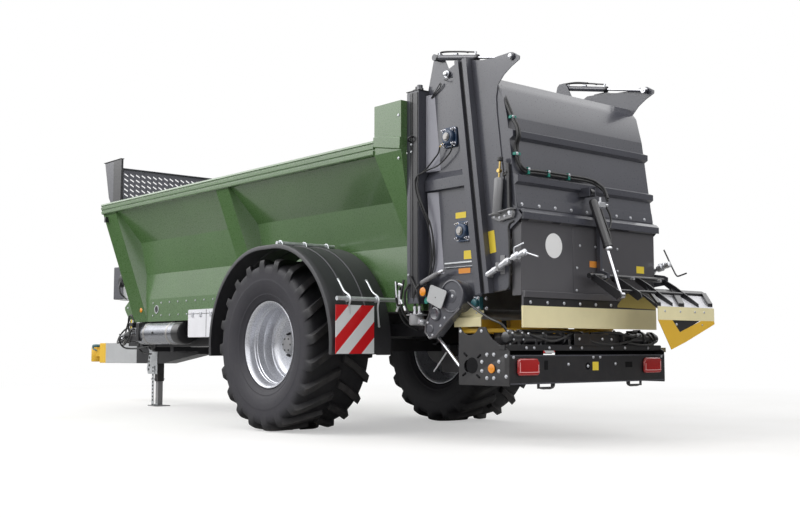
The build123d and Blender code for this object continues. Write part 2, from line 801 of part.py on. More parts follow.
limiter_pin_x = ahead(-2840)
limiter_pin_z = 1360
lim_eye_x = ahead(-3100)
lim_eye_z = 1190
lim_top_x = ahead(-2800)
lim_top_z = 2050
lim_y = 70
with BuildPart() as hood:
    cheek = [
        (hood_pin_x + 37, hood_pin_z),
        (hood_pin_x + 25, hood_pin_z + 30),
        (hood_pin_x, hood_pin_z + 40),
        (ahead(-2010), hood_pin_z + 70),
        (ahead(-2160), hood_pin_z + 62),
        (ahead(-2360), hood_pin_z + 38),
        (ahead(-2480), hood_pin_z + 32),
        (ahead(-2600), horn_pin_z + 36),
        (horn_pin_x + 30, horn_pin_z + 38),
        (horn_pin_x - 10, horn_pin_z + 34),
        (horn_pin_x - 82, horn_pin_z - 10),
        (horn_pin_x - 80, horn_pin_z - 38),
        (horn_pin_x + 10, horn_pin_z - 78),
        (ahead(-2600), horn_pin_z - 128),
        (ahead(-2532), horn_pin_z - 196),
        (ahead(-2512), 2780),
        (ahead(-2519), 2655),
        (ahead(-2600), 2030),
        (ahead(-2640), flap_pin_z + 130),
        (flap_pin_x + 5, flap_pin_z + 50),
        (flap_pin_x - 40, flap_pin_z),
        (flap_pin_x + 5, flap_pin_z - 40),
        (ahead(-2650), flap_pin_z - 100),
        (ahead(-2645), 1230),
        (ahead(-2260), 1200),
        (ahead(-2005), hood_pin_z - 30),
        (hood_pin_x, hood_pin_z - 40),
        (hood_pin_x + 25, hood_pin_z - 30),
    ]
    for side in (1, -1):
        side_plate(cheek, cheek_y if side > 0 else -cheek_y + plate_thick, plate_thick)
        groove = [
            (ahead(-2012), hood_pin_z + 75),
            (ahead(-2150), hood_pin_z + 75),
            (ahead(-2400), 1205),
            (ahead(-2262), 1205),
        ]
        side_plate(groove, cheek_y + 60 if side > 0 else -cheek_y, 60)
        inner_groove = [
            (ahead(-2050), hood_pin_z + 120),
            (ahead(-2098), hood_pin_z + 120),
            (ahead(-2362), 1150),
            (ahead(-2314), 1150),
        ]
        side_plate(
            inner_groove, cheek_y + 62 if side > 0 else -cheek_y - 32, 30, Mode.SUBTRACT,
        )
        bar(
            (horn_pin_x, side * (cheek_y - 4), horn_pin_z),
            (horn_pin_x, side * (cheek_y + 14), horn_pin_z), 30,
        )
        tube_y(hood_pin_x, hood_pin_z, side * (cheek_y - 20), side * (cheek_y + 70), 20 + pin_gap, Mode.SUBTRACT)
    half = cheek_y - 4
    rear_sheet = [
        wall_brow,
        upper_fold,
        wall_top,
        wall_foot,
        (wall_foot[0] + 8, wall_foot[1]),
        (wall_top[0] + 8, wall_top[1] - 2),
        (upper_fold[0] + 8, upper_fold[1] - 4),
        (wall_brow[0] + 8, wall_brow[1] - 8),
        (ahead(-2042), hood_pin_z - 107),
        (ahead(-2042), hood_pin_z - 99),
    ]
    side_plate(rear_sheet, half, 2 * half)
    for z in (2465, 2100):
        rib = [
            (wall_x(z + 46) + 4, z + 46),
            (wall_x(z) - 42, z + 24),
            (wall_x(z) - 42, z - 24),
            (wall_x(z - 46) + 4, z - 46),
        ]
        side_plate(rib, half, 2 * half)
    side_return = [
        (wall_brow[0] + 4, wall_brow[1] - 6),
        (upper_fold[0] + 4, upper_fold[1]),
        (wall_top[0] + 4, wall_top[1]),
        (wall_foot[0] + 4, wall_foot[1]),
        (ahead(-2560), wall_foot[1]),
        (ahead(-2400), wall_brow[1] - 6),
    ]
    for y_outer in (cheek_y - plate_thick, -cheek_y + 2 * plate_thick):
        side_plate(side_return, y_outer, plate_thick)
    hinge_cover = [
        (flap_pin_x + 30, flap_pin_z + 60),
        (flap_pin_x - 22, flap_pin_z + 54),
        (flap_pin_x - 48, flap_pin_z + 28),
        (flap_pin_x - 48, flap_pin_z - 24),
        (flap_pin_x - 40, flap_pin_z - 24),
        (flap_pin_x - 40, flap_pin_z + 24),
        (flap_pin_x - 19, flap_pin_z + 46),
        (flap_pin_x + 30, flap_pin_z + 52),
    ]
    side_plate(hinge_cover, half, 2 * half)
    tube_y(flap_pin_x, flap_pin_z, -cheek_y, cheek_y, 25)
    for y in (-835, 835):
        slab(flap_pin_x - 15, flap_pin_x + 21, y - 15, y + 15, flap_pin_z, flap_pin_z + 60)
    # hanger and lugs that carry the border limiter
    slab(ahead(-2800), ahead(-2765), -75, -45, 1340, 1820)
    slab(ahead(-2800), ahead(-2730), -75, -45, 1840, 1900)
    slab(ahead(-2800), ahead(-2765), -75, -45, 1800, 1880)
    lug = [
        (ahead(-2770), 1320),
        (limiter_pin_x, 1320),
        (limiter_pin_x - 36, 1345),
        (limiter_pin_x - 36, 1385),
        (limiter_pin_x, 1400),
        (ahead(-2770), 1420),
    ]
    side_plate(lug, -45, 30)
    right_lug = [
        (ahead(-2600), 1290),
        (limiter_pin_x, 1318),
        (limiter_pin_x - 36, 1345),
        (limiter_pin_x - 36, 1385),
        (limiter_pin_x, 1402),
        (ahead(-2600), 1440),
    ]
    side_plate(right_lug, -cheek_y + plate_thick, plate_thick)
    tube_y(limiter_pin_x, limiter_pin_z, -900, 0, 22 + pin_gap, Mode.SUBTRACT)
    # fork for the limiter's cylinder
    for y in (lim_y - 42, lim_y + 30):
        slab(ahead(-2825), ahead(-2690), y, y + 12, 2020, 2090)
    bar((lim_top_x, lim_y - 42, lim_top_z), (lim_top_x, lim_y + 42, lim_top_z), pin_radius)
hood.part.label = "hood"
export_step(hood.part, "parts/hood.step")

# Rear flap under its hinge tube, with the board below it
flap_x = flap_pin_x - 3
with BuildPart() as rear_flap:
    slab(flap_x, flap_x + 8, -845, 845, 1100, 1790)
    for y0, y1 in ((-780, -480), (-280, -100), (200, 400), (500, 780)):
        tube_y(flap_pin_x, flap_pin_z, y0, y1, 33)
    tube_y(flap_pin_x, flap_pin_z, -900, 900, 25 + pin_gap, Mode.SUBTRACT)
    slab(flap_x - 30, flap_x, -845, 845, 1165, 1215)
    slab(flap_x - 14, flap_x, -845, 845, 1100, 1165)
    for side in (1, -1):
        slab(flap_x, ahead(-2650), side * 845, side * 853, 1180, 1750)
rear_flap.part.label = "rear_flap"
export_step(rear_flap.part, "parts/rear_flap.step")

with BuildPart() as deflector_board:
    slab(flap_x - 14, flap_x + 4, -850, 850, 930, 1100)
deflector_board.part.label = "deflector_board"
export_step(deflector_board.part, "parts/deflector_board.step")


def cylinder_barrel(start, end, length, radius, rod_radius):
    """Barrel from its pin at start, pointing at end, bored for the rod."""
    run = (Vector(*end) - Vector(*start)).normalized()
    first = Vector(*start)
    bar(tuple(first + run * 22), tuple(first + run * length), radius)
    bar(
        (start[0], start[1] - radius, start[2]),
        (start[0], start[1] + radius, start[2]), 28,
    )
    bar(
        (start[0], start[1] - radius - 4, start[2]),
        (start[0], start[1] + radius + 4, start[2]), pin_radius + pin_gap, Mode.SUBTRACT,
    )
    bar(
        tuple(first + run * 60), tuple(first + run * (length + 4)),
        rod_radius + 0.4, Mode.SUBTRACT,
    )


def cylinder_rod(start, end, length, radius, rod_radius):
    """Rod that ends in an eye with its pin at end, length long, pointing back at start."""
    run = (Vector(*start) - Vector(*end)).normalized()
    last = Vector(*end)
    bar(tuple(last + run * 20), tuple(last + run * length), rod_radius)
    bar(
        (end[0], end[1] - radius + 4, end[2]),
        (end[0], end[1] + radius - 4, end[2]), 26,
    )
    bar(
        (end[0], end[1] - radius - 2, end[2]),
        (end[0], end[1] + radius + 4, end[2]), pin_radius,
    )


hood_barrel_length = 520
hood_rod_length = 500
for_left = [(barrel_pin_x, cylinder_y, barrel_pin_z), (horn_pin_x, cylinder_y, horn_pin_z)]
with BuildPart() as hood_barrel_left:
    cylinder_barrel(*for_left, hood_barrel_length, 24, 12)
hood_barrel_left.part.label = "hood_barrel_left"
export_step(hood_barrel_left.part, "parts/hood_barrel_left.step")

with BuildPart() as hood_barrel_right:
    mirror(hood_barrel_left.part, about=Plane.XZ)
hood_barrel_right.part.label = "hood_barrel_right"
export_step(hood_barrel_right.part, "parts/hood_barrel_right.step")

with BuildPart() as hood_rod_left:
    cylinder_rod(*for_left, hood_rod_length, 24, 12)
hood_rod_left.part.label = "hood_rod_left"
export_step(hood_rod_left.part, "parts/hood_rod_left.step")

with BuildPart() as hood_rod_right:
    mirror(hood_rod_left.part, about=Plane.XZ)
hood_rod_right.part.label = "hood_rod_right"
export_step(hood_rod_right.part, "parts/hood_rod_right.step")

# Border limiter on its own pivot tube: levers for the cylinder, ribs, sloping roof, band and skirt
roof_near = (ahead(-2950), 1245)
roof_far = (ahead(-3200), 1105)
roof_thick = 6
limiter_inner_y = -270
limiter_outer_y = -1270
corner_cut = 210
band_thick = 6
band_foot_z = 1000
fall = (roof_far[1] - roof_near[1], roof_near[0] - roof_far[0])
roof_plane = Plane(origin=(roof_far[0], 0, roof_far[1]), x_dir=(0, 1, 0), z_dir=(fall[0], 0, fall[1]))


def roof_top(x):
    slope = (roof_near[1] - roof_far[1]) / (roof_near[0] - roof_far[0])
    return roof_near[1] + slope * (x - roof_near[0]) + roof_thick * sqrt(1 + slope**2)


def on_roof(outlines, low, high):
    """Plates with the given outlines in plan, between two heights square to the roof's slope."""
    for outline in outlines:
        prism(Plane.XY.offset(roof_far[1] - 60), outline, 300)
    split(bisect_by=roof_plane.offset(low), keep=Keep.TOP)
    split(bisect_by=roof_plane.offset(high), keep=Keep.BOTTOM)


with BuildPart() as limiter_roof:
    roof_outline = [
        (roof_near[0], limiter_inner_y - 185),
        (roof_far[0], limiter_inner_y),
        (roof_far[0], limiter_outer_y + corner_cut),
        (roof_far[0] + corner_cut, limiter_outer_y),
        (roof_near[0], limiter_outer_y),
    ]
    on_roof([roof_outline], 0, roof_thick)
limiter_roof.part.label = "limiter_roof"
export_step(limiter_roof.part, "parts/limiter_roof.step")

with BuildPart() as limiter_frame:
    # bars across the roof: along its inner edge, over its middle and along the cut corner
    inner_bar = [
        (roof_near[0], limiter_inner_y - 185),
        (roof_far[0], limiter_inner_y),
        (roof_far[0], limiter_inner_y - 46),
        (roof_near[0], limiter_inner_y - 231),
    ]
    middle_bar = [
        (roof_near[0], -805),
        (roof_far[0], -562),
        (roof_far[0], -638),
        (roof_near[0], -890),
    ]
    corner_bar = [
        (roof_far[0] + corner_cut, limiter_outer_y),
        (roof_far[0] + 20, limiter_outer_y + corner_cut - 20),
        (roof_far[0] + 20, limiter_outer_y + corner_cut + 45),
        (roof_far[0] + corner_cut, limiter_outer_y + 65),
    ]
    on_roof([inner_bar, middle_bar, corner_bar], roof_thick, roof_thick + 26)
    edge_bar = [
        (roof_near[0], roof_top(roof_near[0])),
        (roof_near[0] - 46, roof_top(roof_near[0] - 46)),
        (roof_near[0] - 46, roof_top(roof_near[0] - 46) + 22),
        (roof_near[0], roof_top(roof_near[0]) + 22),
    ]
    side_plate(edge_bar, limiter_inner_y - 185, limiter_inner_y - 185 - limiter_outer_y)
    tube_y(limiter_pin_x, limiter_pin_z, -890, 150, 22)
    lever = [
        (limiter_pin_x + 10, limiter_pin_z + 30),
        (limiter_pin_x + 10, limiter_pin_z - 30),
        (lim_eye_x + 10, lim_eye_z - 34),
        (lim_eye_x - 34, lim_eye_z - 10),
        (lim_eye_x - 20, lim_eye_z + 30),
    ]
    side_plate(lever, lim_y + 44, 14)
    side_plate(lever, -150, 14)
    rib = [
        (limiter_pin_x + 10, limiter_pin_z + 24),
        (limiter_pin_x + 10, limiter_pin_z - 26),
        (roof_near[0], roof_top(roof_near[0])),
        (roof_far[0] + 4, roof_top(roof_far[0] + 4)),
        (roof_far[0] + 4, roof_far[1] + 38),
        (roof_near[0] - 20, roof_near[1] + 58),
    ]
    for y in (-470, -840):
        side_plate(rib, y, 12)
    tube_y(lim_eye_x + 60, lim_eye_z + 42, -862, lim_y - 28, 14)
limiter_frame.part.label = "limiter_frame"
export_step(limiter_frame.part, "parts/limiter_frame.step")

with BuildPart() as limiter_notch:
    # plate behind the band that closes the notch of the skirt
    notch_back = [
        (-450, band_foot_z + 12),
        (-562, band_foot_z - 108),
        (-890, band_foot_z + 12),
    ]
    across(notch_back, roof_far[0], 4)
    slab(roof_far[0], roof_far[0] + 4, -890, -450, band_foot_z + 12, roof_far[1] - 1)
limiter_notch.part.label = "limiter_notch"
export_step(limiter_notch.part, "parts/limiter_notch.step")

with BuildPart() as limiter_plate:
    band_face_x = roof_far[0] - band_thick
    mitre = band_thick * (sqrt(2) - 1)
    band_line = [
        (roof_far[0], limiter_inner_y),
        (band_face_x, limiter_inner_y),
        (band_face_x, limiter_outer_y + corner_cut - mitre),
        (roof_far[0] + corner_cut - mitre, limiter_outer_y - band_thick),
        (roof_near[0], limiter_outer_y - band_thick),
        (roof_near[0], limiter_outer_y),
        (roof_far[0] + corner_cut, limiter_outer_y),
        (roof_far[0], limiter_outer_y + corner_cut),
    ]
    prism(Plane.XY.offset(band_foot_z), band_line, roof_far[1] + 4 - band_foot_z)
limiter_plate.part.label = "limiter_plate"
export_step(limiter_plate.part, "parts/limiter_plate.step")

with BuildPart() as limiter_skirt:
    skirt_line = [
        (limiter_inner_y, band_foot_z),
        (-460, band_foot_z),
        (-562, band_foot_z - 100),
        (-870, band_foot_z),
        (limiter_outer_y + corner_cut, band_foot_z),
        (limiter_outer_y + corner_cut - 7, band_foot_z - 25),
        (-645, band_foot_z - 178),
        (-442, band_foot_z - 241),
    ]
    across(skirt_line, band_face_x, band_thick)
limiter_skirt.part.label = "limiter_skirt"
export_step(limiter_skirt.part, "parts/limiter_skirt.step")

lim_ends = [(lim_top_x, lim_y, lim_top_z), (lim_eye_x, lim_y, lim_eye_z)]
with BuildPart() as limiter_barrel:
    cylinder_barrel(*lim_ends, 520, 26, 14)
limiter_barrel.part.label = "limiter_barrel"
export_step(limiter_barrel.part, "parts/limiter_barrel.step")

with BuildPart() as limiter_rod:
    cylinder_rod(*lim_ends, 455, 26, 14)
limiter_rod.part.label = "limiter_rod"
export_step(limiter_rod.part, "parts/limiter_rod.step")
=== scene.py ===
import json
import math
from math import cos, pi, radians, sin

import bmesh
import bpy
import numpy as np
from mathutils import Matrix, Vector


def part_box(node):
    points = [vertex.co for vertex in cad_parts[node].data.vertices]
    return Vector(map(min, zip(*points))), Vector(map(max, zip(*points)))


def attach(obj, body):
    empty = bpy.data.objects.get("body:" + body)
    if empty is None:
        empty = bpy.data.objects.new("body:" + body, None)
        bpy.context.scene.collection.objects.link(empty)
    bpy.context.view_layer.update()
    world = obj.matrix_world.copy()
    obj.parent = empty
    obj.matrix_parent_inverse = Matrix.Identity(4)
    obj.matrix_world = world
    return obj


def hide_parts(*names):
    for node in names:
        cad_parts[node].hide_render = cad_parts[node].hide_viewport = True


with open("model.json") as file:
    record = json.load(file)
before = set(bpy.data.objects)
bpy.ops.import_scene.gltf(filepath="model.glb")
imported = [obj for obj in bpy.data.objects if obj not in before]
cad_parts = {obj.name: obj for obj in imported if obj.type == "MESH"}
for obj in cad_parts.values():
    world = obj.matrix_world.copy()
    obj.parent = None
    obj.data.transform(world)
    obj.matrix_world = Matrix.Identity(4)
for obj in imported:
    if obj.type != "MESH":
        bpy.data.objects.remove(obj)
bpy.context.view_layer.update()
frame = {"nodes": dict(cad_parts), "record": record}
print("frame loaded")

jointPlace = {j["name"]: j.get("pos_m", [0, 0, 0]) for j in frame["record"]["behaviour"]["joints"]}
axleX = jointPlace["wheel_left_spin"][0]
hubZ = jointPlace["wheel_left_spin"][2]
trackY = jointPlace["wheel_left_spin"][1]
flanks = ((1, "left"), (-1, "right"))


def at(x):
    return axleX + x  # station counted ahead from the axle


# shapes: every part is (points, faces); parts are joined into one mesh

def grid(points, closeU=False, closeV=False):
    # a sheet of quads over an array of points [u, v]
    nu, nv = points.shape[:2]
    index = np.arange(nu * nv).reshape(nu, nv)
    if closeU:
        index = np.vstack([index, index[:1]])
    if closeV:
        index = np.hstack([index, index[:, :1]])
    quads = np.stack([index[:-1, :-1], index[1:, :-1], index[1:, 1:], index[:-1, 1:]], -1)
    return points.reshape(-1, 3), quads.reshape(-1, 4).tolist()


def capped(rings):
    # rings joined into a skin whose first and last rings are closed by a face each
    points, faces = grid(rings, closeV=True)
    n = rings.shape[1]
    last = len(points) - n
    return points, faces + [list(range(n))[::-1], list(range(last, last + n))]


def joined(*parts):
    points, faces, start = [], [], 0
    for p, f in parts:
        points.append(np.asarray(p, float))
        faces += [[i + start for i in face] for face in f]
        start += len(p)
    return np.vstack(points), faces


def mirrored(part):
    return np.asarray(part[0], float) * (1, -1, 1), part[1]


def slab(x0, x1, y0, y1, z0, z1):
    # a box whose ends along X are counted ahead from the axle
    return box(at(x0), at(x1), y0, y1, z0, z1)


def box(x0, x1, y0, y1, z0, z1):
    corners = np.array([[x, y, z] for x in (x0, x1) for y in (y0, y1) for z in (z0, z1)])
    return corners, [[0, 1, 3, 2], [4, 6, 7, 5], [0, 4, 5, 1], [2, 3, 7, 6], [0, 2, 6, 4], [1, 5, 7, 3]]


def slabOf(outline, low, high, axis="y"):
    # flat outline in the two other axes, given depth along this one
    flat = np.asarray(outline, float)
    n = len(flat)
    layers = []
    for depth in (low, high):
        d = np.full(n, depth)
        place = {"x": (d, flat[:, 0], flat[:, 1]), "y": (flat[:, 0], d, flat[:, 1]),
                 "z": (flat[:, 0], flat[:, 1], d)}[axis]
        layers.append(np.stack(place, -1))
    skin = [[i, (i + 1) % n, n + (i + 1) % n, n + i] for i in range(n)]
    return np.vstack(layers), skin + [list(range(n)), list(range(2 * n - 1, n - 1, -1))]


def axisFrame(direction):
    d = np.asarray(direction, float)
    d = d / np.linalg.norm(d)
    ref = np.array([0, 0, 1.0]) if abs(d[2]) < .9 else np.array([1.0, 0, 0])
    a = np.cross(d, ref)
    a /= np.linalg.norm(a)
    return a, np.cross(d, a), d


def lathe(profile, centre, direction, steps=32):
    # profile rows are (distance along the axis, radius), turned round it
    a, b, d = axisFrame(direction)
    along, radius = np.asarray(profile, float).T
    turn = np.linspace(0, 2 * pi, steps, endpoint=False)
    ring = np.cos(turn)[:, None] * a + np.sin(turn)[:, None] * b
    points = np.asarray(centre, float) + along[:, None, None] * d + radius[:, None, None] * ring[None]
    return grid(points, closeV=True)


def smoothPath(points, steps=8):
    # Catmull-Rom curve through the points
    p = np.asarray(points, float)
    p = np.vstack([2 * p[0] - p[1], p, 2 * p[-1] - p[-2]])
    t = np.linspace(0, 1, steps, endpoint=False)[None, :, None]
    a, b, c, d = p[:-3, None], p[1:-2, None], p[2:-1, None], p[3:, None]
    run = .5 * (2 * b + (c - a) * t + (2 * a - 5 * b + 4 * c - d) * t ** 2 + (3 * b - a - 3 * c + d) * t ** 3)
    return np.vstack([run.reshape(-1, 3), p[-2]])


def tube(path, radius, sides=10, section=None):
    # round or given section carried along the path, square to it, with closed ends
    p = np.asarray(path, float)
    tangent = np.gradient(p, axis=0)
    tangent /= np.linalg.norm(tangent, axis=1)[:, None]
    ref = np.eye(3)[np.argmin(np.abs(tangent).mean(0))]
    a = np.cross(tangent, ref)
    a /= np.linalg.norm(a, axis=1)[:, None]
    b = np.cross(tangent, a)
    if section is None:
        turn = np.linspace(0, 2 * pi, sides, endpoint=False)
        section = np.stack([np.cos(turn), np.sin(turn)], -1)
    section = np.asarray(section, float)
    r = np.broadcast_to(np.asarray(radius, float), (len(p),))[:, None, None]
    points = p[:, None] + r * (section[None, :, :1] * a[:, None] + section[None, :, 1:] * b[:, None])
    return capped(points)


def rod(start, end, radius, sides=16):
    return tube([start, end], radius, sides)


def hose(points, radius, steps=8, sides=8):
    return tube(smoothPath(points, steps), radius, sides)


def copies(part, places, direction=(0, 0, 1)):
    # the part, made round the origin with its axis up, set at every place along the direction
    a, b, d = axisFrame(direction)
    base = np.asarray(part[0], float)
    turned = base[:, :1] * a + base[:, 1:2] * b + base[:, 2:] * d
    places = np.asarray(places, float).reshape(-1, 3)
    points = (places[:, None] + turned[None]).reshape(-1, 3)
    n = len(base)
    faces = [[i + k * n for i in face] for k in range(len(places)) for face in part[1]]
    return points, faces


def hexHead(radius=.009, height=.006, washer=.0015):
    # washer, six flats and a chamfered top
    turn6 = np.arange(6) * pi / 3
    hexRing = np.stack([np.cos(turn6), np.sin(turn6)], -1)
    rings = [(1.45, 0), (1.45, washer), (1.0, washer), (1.0, height * .85), (.85, height)]
    layers = np.stack([np.column_stack([hexRing * radius * s, np.full(6, z)]) for s, z in rings])
    return capped(layers)


def domeHead(radius=.01, height=.004, sides=10):
    turn = np.linspace(0, 2 * pi, sides, endpoint=False)
    ring = np.stack([np.cos(turn), np.sin(turn)], -1)
    rings = [(1.0, 0), (.95, height * .5), (.6, height)]
    layers = np.stack([np.column_stack([ring * radius * s, np.full(sides, z)]) for s, z in rings])
    return capped(layers)


# objects

def piece(name, part, material, body="chassis", slotName="usual", replaces=(), bevel=0.0, segments=2,
          smoothAngle=35):
    # part is one shape, or a list of shapes that become one mesh
    if isinstance(part, list):
        part = joined(*part)
    mesh = bpy.data.meshes.new(name)
    mesh.from_pydata(np.asarray(part[0]).tolist(), [], part[1])
    tidy = bmesh.new()
    tidy.from_mesh(mesh)
    bmesh.ops.remove_doubles(tidy, verts=tidy.verts, dist=1e-5)
    bmesh.ops.recalc_face_normals(tidy, faces=tidy.faces)
    tidy.to_mesh(mesh)
    tidy.free()
    obj = bpy.data.objects.new(name, mesh)
    bpy.context.scene.collection.objects.link(obj)
    if slotName == "usual":
        slotName = slotOf.get(material.name)
    return finishPiece(obj, material, body, replaces, bevel, segments, smoothAngle)


def finishPiece(obj, material, body, replaces=(), bevel=0.0, segments=2, smoothAngle=35):
    obj.data.materials.clear()
    obj.data.materials.append(material)
    obj.data.polygons.foreach_set("use_smooth", np.ones(len(obj.data.polygons), bool))
    obj.data.set_sharp_from_angle(angle=radians(smoothAngle))
    if bevel:
        edges = obj.modifiers.new("edges", "BEVEL")
        edges.width = bevel
        edges.segments = segments
        edges.limit_method = "ANGLE"
        edges.angle_limit = radians(32)
        edges.harden_normals = False
    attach(obj, body)
    if replaces:
        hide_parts(*replaces)
    return obj


nodeBody = {n: b for b, names in frame["record"]["behaviour"]["bodies"].items() for n in names}


def softened(node, material, bevel=.003, shift=None, smoothAngle=30):
    # the CAD node's own shape, merged into flat faces, with its edges rounded
    mesh = frame["nodes"][node].data.copy()
    if shift:
        place = np.empty(len(mesh.vertices) * 3)
        mesh.vertices.foreach_get("co", place)
        place = shift(place.reshape(-1, 3))
        mesh.vertices.foreach_set("co", place.ravel())
    work = bmesh.new()
    work.from_mesh(mesh)
    bmesh.ops.remove_doubles(work, verts=work.verts, dist=2e-5)
    bmesh.ops.dissolve_limit(work, angle_limit=radians(.6), verts=work.verts, edges=work.edges)
    work.to_mesh(mesh)
    work.free()
    obj = bpy.data.objects.new(node + "_soft", mesh)
    bpy.context.scene.collection.objects.link(obj)
    return finishPiece(obj, material, nodeBody[node], (node,), bevel, 2, smoothAngle)


# finishes: colours mottled by noise on Object coordinates

def newFinish(name):
    mat = bpy.data.materials.new(name)
    mat.use_nodes = True
    tree = mat.node_tree
    shader = tree.nodes["Principled BSDF"]
    coords = tree.nodes.new("ShaderNodeTexCoord")
    return mat, tree, shader, coords


def objectAxes(tree, coords):
    # X, Y and Z of the point, as separate values
    split = tree.nodes.new("ShaderNodeSeparateXYZ")
    tree.links.new(coords.outputs["Object"], split.inputs["Vector"])
    return split.outputs


def bumped(tree, shader, value, strength):
    height = tree.nodes.new("ShaderNodeBump")
    height.inputs["Strength"].default_value = strength
    height.inputs["Distance"].default_value = .002
    tree.links.new(value, height.inputs["Height"])
    tree.links.new(height.outputs["Normal"], shader.inputs["Normal"])


def addNoise(tree, coords, scale, detail=3.0, stretch=(1, 1, 1), roughness=.55):
    place = tree.nodes.new("ShaderNodeMapping")
    place.inputs["Scale"].default_value = stretch
    tree.links.new(coords.outputs["Object"], place.inputs["Vector"])
    noise = tree.nodes.new("ShaderNodeTexNoise")
    noise.inputs["Scale"].default_value = scale
    noise.inputs["Detail"].default_value = detail
    noise.inputs["Roughness"].default_value = roughness
    tree.links.new(place.outputs["Vector"], noise.inputs["Vector"])
    return noise.outputs["Fac"]


def mapped(tree, value, low, high, newLow, newHigh):
    node = tree.nodes.new("ShaderNodeMapRange")
    node.inputs["From Min"].default_value = low
    node.inputs["From Max"].default_value = high
    node.inputs["To Min"].default_value = newLow
    node.inputs["To Max"].default_value = newHigh
    tree.links.new(value, node.inputs["Value"])
    return node.outputs["Result"]


def mixed(tree, factor, first, second, blend="MIX"):
    node = tree.nodes.new("ShaderNodeMix")
    node.data_type = "RGBA"
    node.blend_type = blend
    for socket, value in ((0, factor), (6, first), (7, second)):
        if isinstance(value, (tuple, list)):
            node.inputs[socket].default_value = (*value, 1) if len(value) == 3 else value
        elif isinstance(value, (int, float)):
            node.inputs[socket].default_value = value
        else:
            tree.links.new(value, node.inputs[socket])
    return node.outputs[2]


def maths(tree, operation, first, second=0.0):
    node = tree.nodes.new("ShaderNodeMath")
    node.operation = operation
    for socket, value in ((0, first), (1, second)):
        if isinstance(value, (int, float)):
            node.inputs[socket].default_value = value
        else:
            tree.links.new(value, node.inputs[socket])
    return node.outputs["Value"]


def finish(name, colour, roughness=.4, metallic=0.0, spread=.1, patch=1.6, grain=90, bump=.04,
           dust=0.0, dustColour=(.36, .32, .27), dustTop=1.3, coat=0.0, specular=.5, stretch=(1, 1, 1)):
    # base colour = colour, darker and lighter in patches; roughness and height follow a finer grain
    mat, tree, shader, coords = newFinish(name)
    patches = addNoise(tree, coords, patch, 4.0)
    fine = addNoise(tree, coords, grain, 2.0, stretch)
    share = mapped(tree, patches, .3, .7, 0, 1)
    dark = tuple(c * (1 - spread) for c in colour)
    light = tuple(min(c * (1 + spread), 1) for c in colour)
    colourOut = mixed(tree, share, dark, light)
    if dust:
        axes = objectAxes(tree, coords)
        low = mapped(tree, axes["Z"], 0, dustTop, dust, dust * .15)
        blotch = mapped(tree, addNoise(tree, coords, 7, 6.0), .35, .75, .2, 1.3)
        colourOut = mixed(tree, maths(tree, "MULTIPLY", low, blotch), colourOut, dustColour)
    tree.links.new(colourOut, shader.inputs["Base Color"])
    tree.links.new(mapped(tree, fine, .25, .75, roughness * .85, min(roughness * 1.18, 1)),
                   shader.inputs["Roughness"])
    shader.inputs["Metallic"].default_value = metallic
    shader.inputs["Specular IOR Level"].default_value = specular
    if coat:
        shader.inputs["Coat Weight"].default_value = coat
        shader.inputs["Coat Roughness"].default_value = .12
    if bump:
        bumped(tree, shader, fine, bump)
    return mat


greenPaint = finish("greenPaint", (.078, .158, .054), .28, coat=.5, spread=.07, bump=.03, dust=.05)
graphitePaint = finish("graphitePaint", (.06, .062, .078), .3, coat=.5, spread=.08, bump=.03, dust=.04)
panelPaint = finish("panelPaint", (.074, .072, .08), .34, coat=.3, spread=.07, bump=.03, dust=.04)
blackPaint = finish("blackPaint", (.011, .011, .014), .36, coat=.3, spread=.2, dust=.05)
# painted shade: near-black matt finish for holes, wells, slots and sheets in gaps, where only shade is seen
holeBlack = finish("holeBlack", (.003, .003, .004), .7, spread=.1, bump=0, specular=.15)
# painted highlight: a paler copy of the graphite paint for edges that catch the light
paleGraphite = finish("paleGraphite", (.3, .3, .35), .3, coat=.4, spread=.08)
greyPaint = finish("greyPaint", (.5, .51, .52), .4, spread=.06, dust=.06)
rimSilver = finish("rimSilver", (.6, .61, .65), .28, metallic=.55, spread=.05, grain=160, bump=.02)
plasticBlack = finish("plasticBlack", (.03, .03, .035), .46, spread=.1, grain=220, bump=.1, dust=.03)


def tyreFinish(name, radius=.805):
    # painted shade: darker towards the foot of the lugs, where shade falls between them; paler with dust at
    # their tops: a ramp on the distance from the axle
    mat, tree, shader, coords = newFinish(name)
    axes = objectAxes(tree, coords)
    along = maths(tree, "SUBTRACT", axes["X"], at(0))
    above = maths(tree, "SUBTRACT", axes["Z"], radius)
    out = maths(tree, "SQRT", maths(tree, "ADD", maths(tree, "MULTIPLY", along, along),
                                    maths(tree, "MULTIPLY", above, above)))
    side = mapped(tree, out, radius - .145, radius - .045, 0, 1)
    lug = mapped(tree, out, radius - .038, radius - .004, 0, 1)
    blotch = mapped(tree, addNoise(tree, coords, 9, 5.0), .3, .75, 0, 1)
    # painted shade: the sidewall turns near black towards the tread floor between the lugs
    wall = mixed(tree, side, (.025, .024, .031), (.006, .006, .008))
    top = mixed(tree, blotch, (.012, .012, .014), (.04, .037, .036))
    dusted = mixed(tree, maths(tree, "MULTIPLY", blotch, .16), mixed(tree, lug, wall, top), (.06, .056, .056))
    tree.links.new(dusted, shader.inputs["Base Color"])
    fine = addNoise(tree, coords, 150, 2.0)
    tree.links.new(mapped(tree, fine, .25, .75, .5, .72), shader.inputs["Roughness"])
    shader.inputs["Specular IOR Level"].default_value = .35
    bumped(tree, shader, fine, .22)
    return mat


